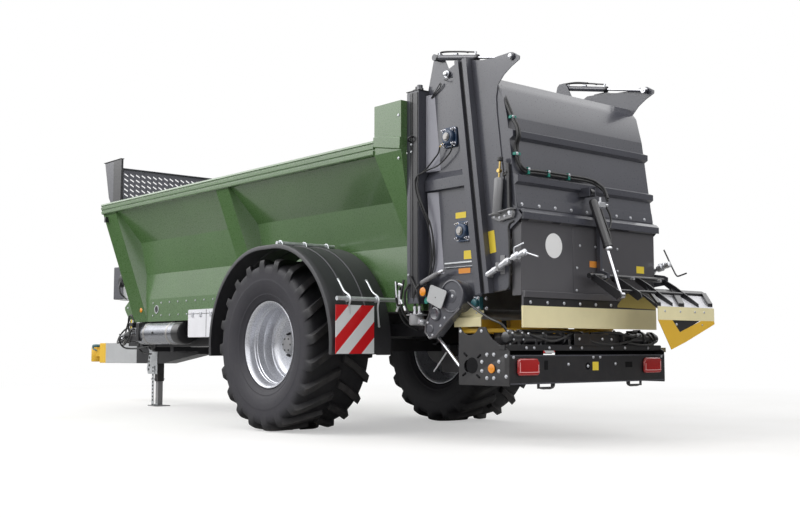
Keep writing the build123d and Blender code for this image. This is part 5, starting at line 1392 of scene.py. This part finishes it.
faceX = -2.74
lampBar = [(.684, .64), (.684, .592), (.694, .583), (.88, .583), (.893, .594), (.893, .66)]
loopLine = [(.652, .5), (.648, .465), (.6, .4535), (.56, .4535), (.505, .4535), (.47, .468), (.466, .5)]
for s, word in flanks:
    lampLine = [(s * y, z) for y, z in ((.668, .573), (.685, .557), (.893, .557), (.911, .575),
                                        (.911, .672), (.893, .69), (.69, .69), (.668, .66))]
    lens = slabOf(lampLine, at(faceX - .026), at(faceX), "x")
    piece("lamp_lens_" + word, lens, lampRed, replaces=("tail_lamp_" + word,), bevel=.012, segments=3)
    ledge = line([(faceX - .0262, s * y, z) for y, z in lampBar], .0034, 5, 6)
    piece("lamp_bars_" + word, ledge, lampGlow)
    piece("beam_loop_" + word, line([(-2.73, s * y, z) for y, z in loopLine], .008, 5), blackPaint)
    # painted shade: the console's well is a black disc
    piece("console_well_" + word, lathe([(.9805, .064), (.9868, .064), (.9868, 0)], (at(-2.332), 0, .633),
                                        (0, s, 0), 32), holeBlack)
    # painted shade: the slots are black rods
    slotBits = []
    for x, z, lean in ((-2.258, .719, .6), (-2.412, .707, -.6), (-2.242, .563, -.6), (-2.4, .549, .6)):
        dx, dz = .02 * cos(lean), .02 * sin(lean)
        slotBits.append(rod((at(x - dx), s * .9866, z - dz), (at(x + dx), s * .9866, z + dz), .0085, 10))
    piece("console_slots_" + word, slotBits, holeBlack)
    consoleBolts = [(-2.5, .72), (-2.575, .72), (-2.443, .663), (-2.629, .665), (-2.443, .592),
                    (-2.628, .592), (-2.498, .537), (-2.573, .538), (-2.707, .709), (-2.706, .552)]
    piece("console_bolts_" + word,
          [bolts([(x, s * .9862, z) for x, z in consoleBolts], (0, s, 0), .0115, .01),
           bolts([(-2.203, s * .9862, .905), (-2.44, s * .9862, .905)], (0, s, 0), .01)], zinc)
    piece("skirt_bolts_" + word, bolts([(-2.0, s * labelFace, 1.056), (-2.21, s * labelFace, 1.056)],
                                       (0, s, 0), .009), zinc)
# painted shade: the beam's holes and openings are black discs and slabs
holeParts = [lathe([(0, .03), (.0015, .03), (.0015, 0)], (at(faceX), .06, .624), (-1, 0, 0), 24),
             slab(faceX - .0015, faceX, .548, .588, .6, .672),
             slab(faceX - .0015, faceX, -.526, -.433, .609, .655)]
piece("beam_holes", holeParts, holeBlack)
piece("beam_bolts", bolts([(faceX, -.011, .697), (faceX, -.099, .697), (faceX - .0015, .06, .624),
                           (faceX, .94, .7), (faceX, -.94, .7), (faceX, .3, .64), (faceX, -.3, .64)],
                          (-1, 0, 0), .01), zinc)
piece("beam_label", slab(faceX - .0012, faceX, -.076, 0, .588, .658), decalYellow, bevel=.0004)
piece("beam_seams", [slab(faceX - .004, faceX, -.98, .98, .706, .716),
                     slab(faceX - .004, faceX, -.98, .98, .489, .499)], graphitePaint, bevel=.001)

# limiter: bolts, pivot bolts, barrel gland and fittings with a hose

piece("limiter_bolts", [bolts([(-3.202, y, 1.072) for y in (-.36, -.572, -.779, -.913)], (-1, 0, 0), .011),
                        bolts([(-3.202, y, .965) for y in (-.52, -.88)], (-1, 0, 0), .009)], zinc,
      "limiter")
pivotBits = [pin((-2.86, y, 1.352), (-2.892, y, 1.352), .012, 12) for y in (-.001, -.375, -.749)]
piece("limiter_pivot_bolts", pivotBits, zinc, "limiter")
low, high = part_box("limiter_barrel")
topPin, footPin = np.array([-2.795, 2.053]), np.array([-2.982, 1.575])


def onLimiter(share, lift=0.0):
    way = footPin - topPin
    side = np.array([way[1], -way[0]]) / np.linalg.norm(way)
    x, z = topPin + way * share + side * lift
    return x, z


midY = (low[1] + high[1]) / 2
glandStart, glandEnd = onLimiter(.955), onLimiter(1.03)
piece("limiter_gland", turnedRod((glandStart[0], midY, glandStart[1]), (glandEnd[0], midY, glandEnd[1]),
                                 [(0, .0265), (.1, .03), (.8, .03), (.9, .026), (1, .016)]), zinc,
      "limiter_barrel")
x1, z1 = onLimiter(.2)
x2, z2 = onLimiter(.9)
piece("limiter_fittings", [pin((x1, midY - .02, z1), (x1, midY - .06, z1), .012),
                           pin((x2, midY - .02, z2), (x2, midY - .05, z2), .012),
                           pin((x1, midY, z1), (x1 - .01, midY, z1 + .034), .01)], zinc, "limiter_barrel")
x3, z3 = onLimiter(.55)
piece("limiter_pipe",
      line([(x1, midY - .055, z1), (x1 + .004, midY - .062, z1 - .04), (x3 + .004, midY - .048, z3),
            (x2 + .004, midY - .05, z2 + .03), (x2, midY - .045, z2)], .007), hoseRubber, "limiter_barrel")
print("rear details made")


# black sheets of painted shade behind the gear beam and below the housing, rims under the spreading discs,
# lower skirts, stay rods

shadeBacking = [slab(-2.64, beamBack, -.97, .33, .7, .76), slab(-2.64, beamBack, .52, .97, .7, .76),
           slab(-1.715, -1.69, -.78, .78, .8, .975), slab(-1.715, -1.64, -.78, .78, .8, .812)]
piece("beam_backing", shadeBacking, holeBlack)
discParts = {"left_disc": ("disc_left", 1), "right_disc": ("disc_right", -1)}
for body, (node, s) in discParts.items():
    centre = (at(-2.15), s * .43, 0)
    edgeRing = lathe([(.9215, .352), (.9215, .3605), (.9, .3605), (.897, .358), (.9, .3545), (.9195, .352)],
                     centre, (0, 0, 1), 64)
    piece(node + "_rim", closedRing(edgeRing, 6), yellowPaint, body)
skirtLine = [(.8085, 1.076), (.8085, 1.036), (.8375, 1.016), (.8375, .944), (.8415, .944), (.8415, 1.018),
             (.8125, 1.038), (.8125, 1.076)]
for s, word in flanks:
    piece("skirt_lower_" + word, slabOf([(s * y, z) for y, z in skirtLine], at(-2.29), at(-1.975), "x"),
          creamStrip, bevel=.001)
piece("stay_rods", [pin((-1.79, .85, .862), (-2.175, .93, .585), .013),
                    pin((-1.7, .82, .575), (-1.9, .86, .735), .007)], zinc)
piece("shelf_tab", slab(-2.704, -2.698, -1.06, -.99, .735, .775), brownSheet)

# limiter: inner cheek under the roof's near edge in a darkened cream, painted shade; thick cylinder sleeve
# with its valve block

cheekLine = [(-3.183, 1.081), (-3.183, 1.108), (-3.088, 1.178), (-2.955, 1.236), (-2.88, 1.215),
             (-2.8, 1.13), (-2.8, 1.112)]
piece("limiter_cheek", plateXZ(cheekLine, -.2695, -.2635), mustardPaint, "limiter", bevel=.001)
edgeBar = [(-3.204, 1.09), (-3.204, 1.122), (-3.092, 1.198), (-2.955, 1.262), (-2.87, 1.232),
           (-2.862, 1.206), (-2.955, 1.24), (-3.088, 1.18)]
piece("limiter_edge", plateXZ(edgeBar, -.2635, -.2555), blackPaint, "limiter", bevel=.001)
top, foot = onLimiter(.14), onLimiter(.985)
sleeve = turnedRod((top[0], midY, top[1]), (foot[0], midY, foot[1]),
                   [(0, 0), (0, .026), (.02, .033), (.06, .036), (.93, .036), (.94, .04), (.985, .04),
                    (1, .034), (1, .02)], 28)
eye = lathe([(-.02, .034), (.02, .034), (.02, .014), (-.02, .014)], (at(-2.8), midY, 2.05), (0, 1, 0), 28)
piece("limiter_sleeve", [sleeve, closedRing(eye, 4)], blackPaint, "limiter_barrel",
      replaces=("limiter_barrel",))
vx, vz = onLimiter(.22, .01)
block = [box(at(vx) - .02, at(vx) + .02, midY - .12, midY - .03, vz - .022, vz + .022),
         pin((vx - .012, midY - .125, vz), (vx - .012, midY - .15, vz), .012, 12),
         pin((vx, midY - .07, vz + .02), (vx, midY - .07, vz + .06), .011, 12)]
piece("limiter_valve", block, zinc, "limiter_barrel", bevel=.003)
lowPipe = [onLimiter(share, .012) for share in (.3, .42, .6, .78, .9)]
piece("limiter_hoses",
      [line([(lowPipe[0][0], midY - .06, lowPipe[0][1])] + [(x, midY - .058, z) for x, z in lowPipe[1:4]]
            + [(lowPipe[4][0], midY - .038, lowPipe[4][1])], .009),
       line([(vx, midY - .14, vz), (vx - .02, midY - .18, vz - .1), (vx - .03, midY - .15, vz - .19),
             (vx - .028, midY - .09, vz - .21)], .008)], hoseRubber, "limiter_barrel")


boardSheet = {"left": stripedSheet("boardLeft", "warning_board_left", 1),
              "right": stripedSheet("boardRight", "warning_board_right", -1)}


# every CAD node that still shows gets its finish

finishedNodes = (
    (greenPaint, "side_wall_left side_wall_right front_wall rear_portal"),
    (graphitePaint, "front_guard gate_frame beater_housing drive_case hood hood_barrel_left "
     "hood_barrel_right"),
    (bareSteel, "floor_plate floor_conveyor gate beater_upper beater_lower"),
    (blackPaint, "chassis_frame axle jack_tube valve_block disc_gearbox rear_beam limiter_frame "
     "limiter_notch limiter_barrel"),
    (greyPaint, "drawbar control_box"),
    (yellowPaint, "coupling disc_left disc_right limiter_skirt"),
    (dullGrey, "jack_leg"),
    (tankSteel, "air_tank"),
    (paleSheet, "storage_box limiter_roof"),
    (creamStrip, "side_skirt_left side_skirt_right deflector_board limiter_plate"),
    (panelPaint, "rear_flap"),
    (chrome, "hood_rod_left hood_rod_right limiter_rod"),
    (lampRed, "tail_lamp_left tail_lamp_right"),
    (boardSheet["left"], "warning_board_left"),
    (boardSheet["right"], "warning_board_right"),
    (plasticBlack, "mudguard_left mudguard_right"),
    (rimSilver, "rim_left rim_right"),
    (rubber, "tyre_left tyre_right"))
nodeFinish = {node: mat for mat, names in finishedNodes for node in names.split()}
for node, obj in frame["nodes"].items():
    mat = nodeFinish[node]
    if not obj.data.materials:
        obj.data.materials.append(mat)
    for slotItem in obj.material_slots:
        slotItem.link = "OBJECT"
        slotItem.material = mat
for node in ("side_wall_left", "side_wall_right", "rear_portal", "front_wall"):
    softened(node, greenPaint, .004, smoothAngle=4)


def postsBack(points):
    # the hood's grooved posts, which lean back towards their feet, set a little further back on the cheeks
    x, y, z = points.T
    leading = at(-2.012) - (3.155 - z) * .1282
    inPost = (np.abs(y) > .8755) & (x < leading + .006) & (z > 1.203)
    inPost &= x > leading - .144 - .012 * (z > 3.13)
    points[inPost, 0] -= postShift
    return points


softened("beater_housing", graphitePaint, .003, smoothAngle=8)
softened("hood", graphitePaint, 0.0, postsBack, 5.5)
softened("rear_flap", panelPaint, .003)
softened("gate_frame", graphitePaint, .003)
for node in ("rear_beam", "chassis_frame", "disc_gearbox", "valve_block"):
    softened(node, blackPaint, .004)
softened("drawbar", barPaint, .005)
softened("drive_case", graphitePaint, .005)
print("finishes set")
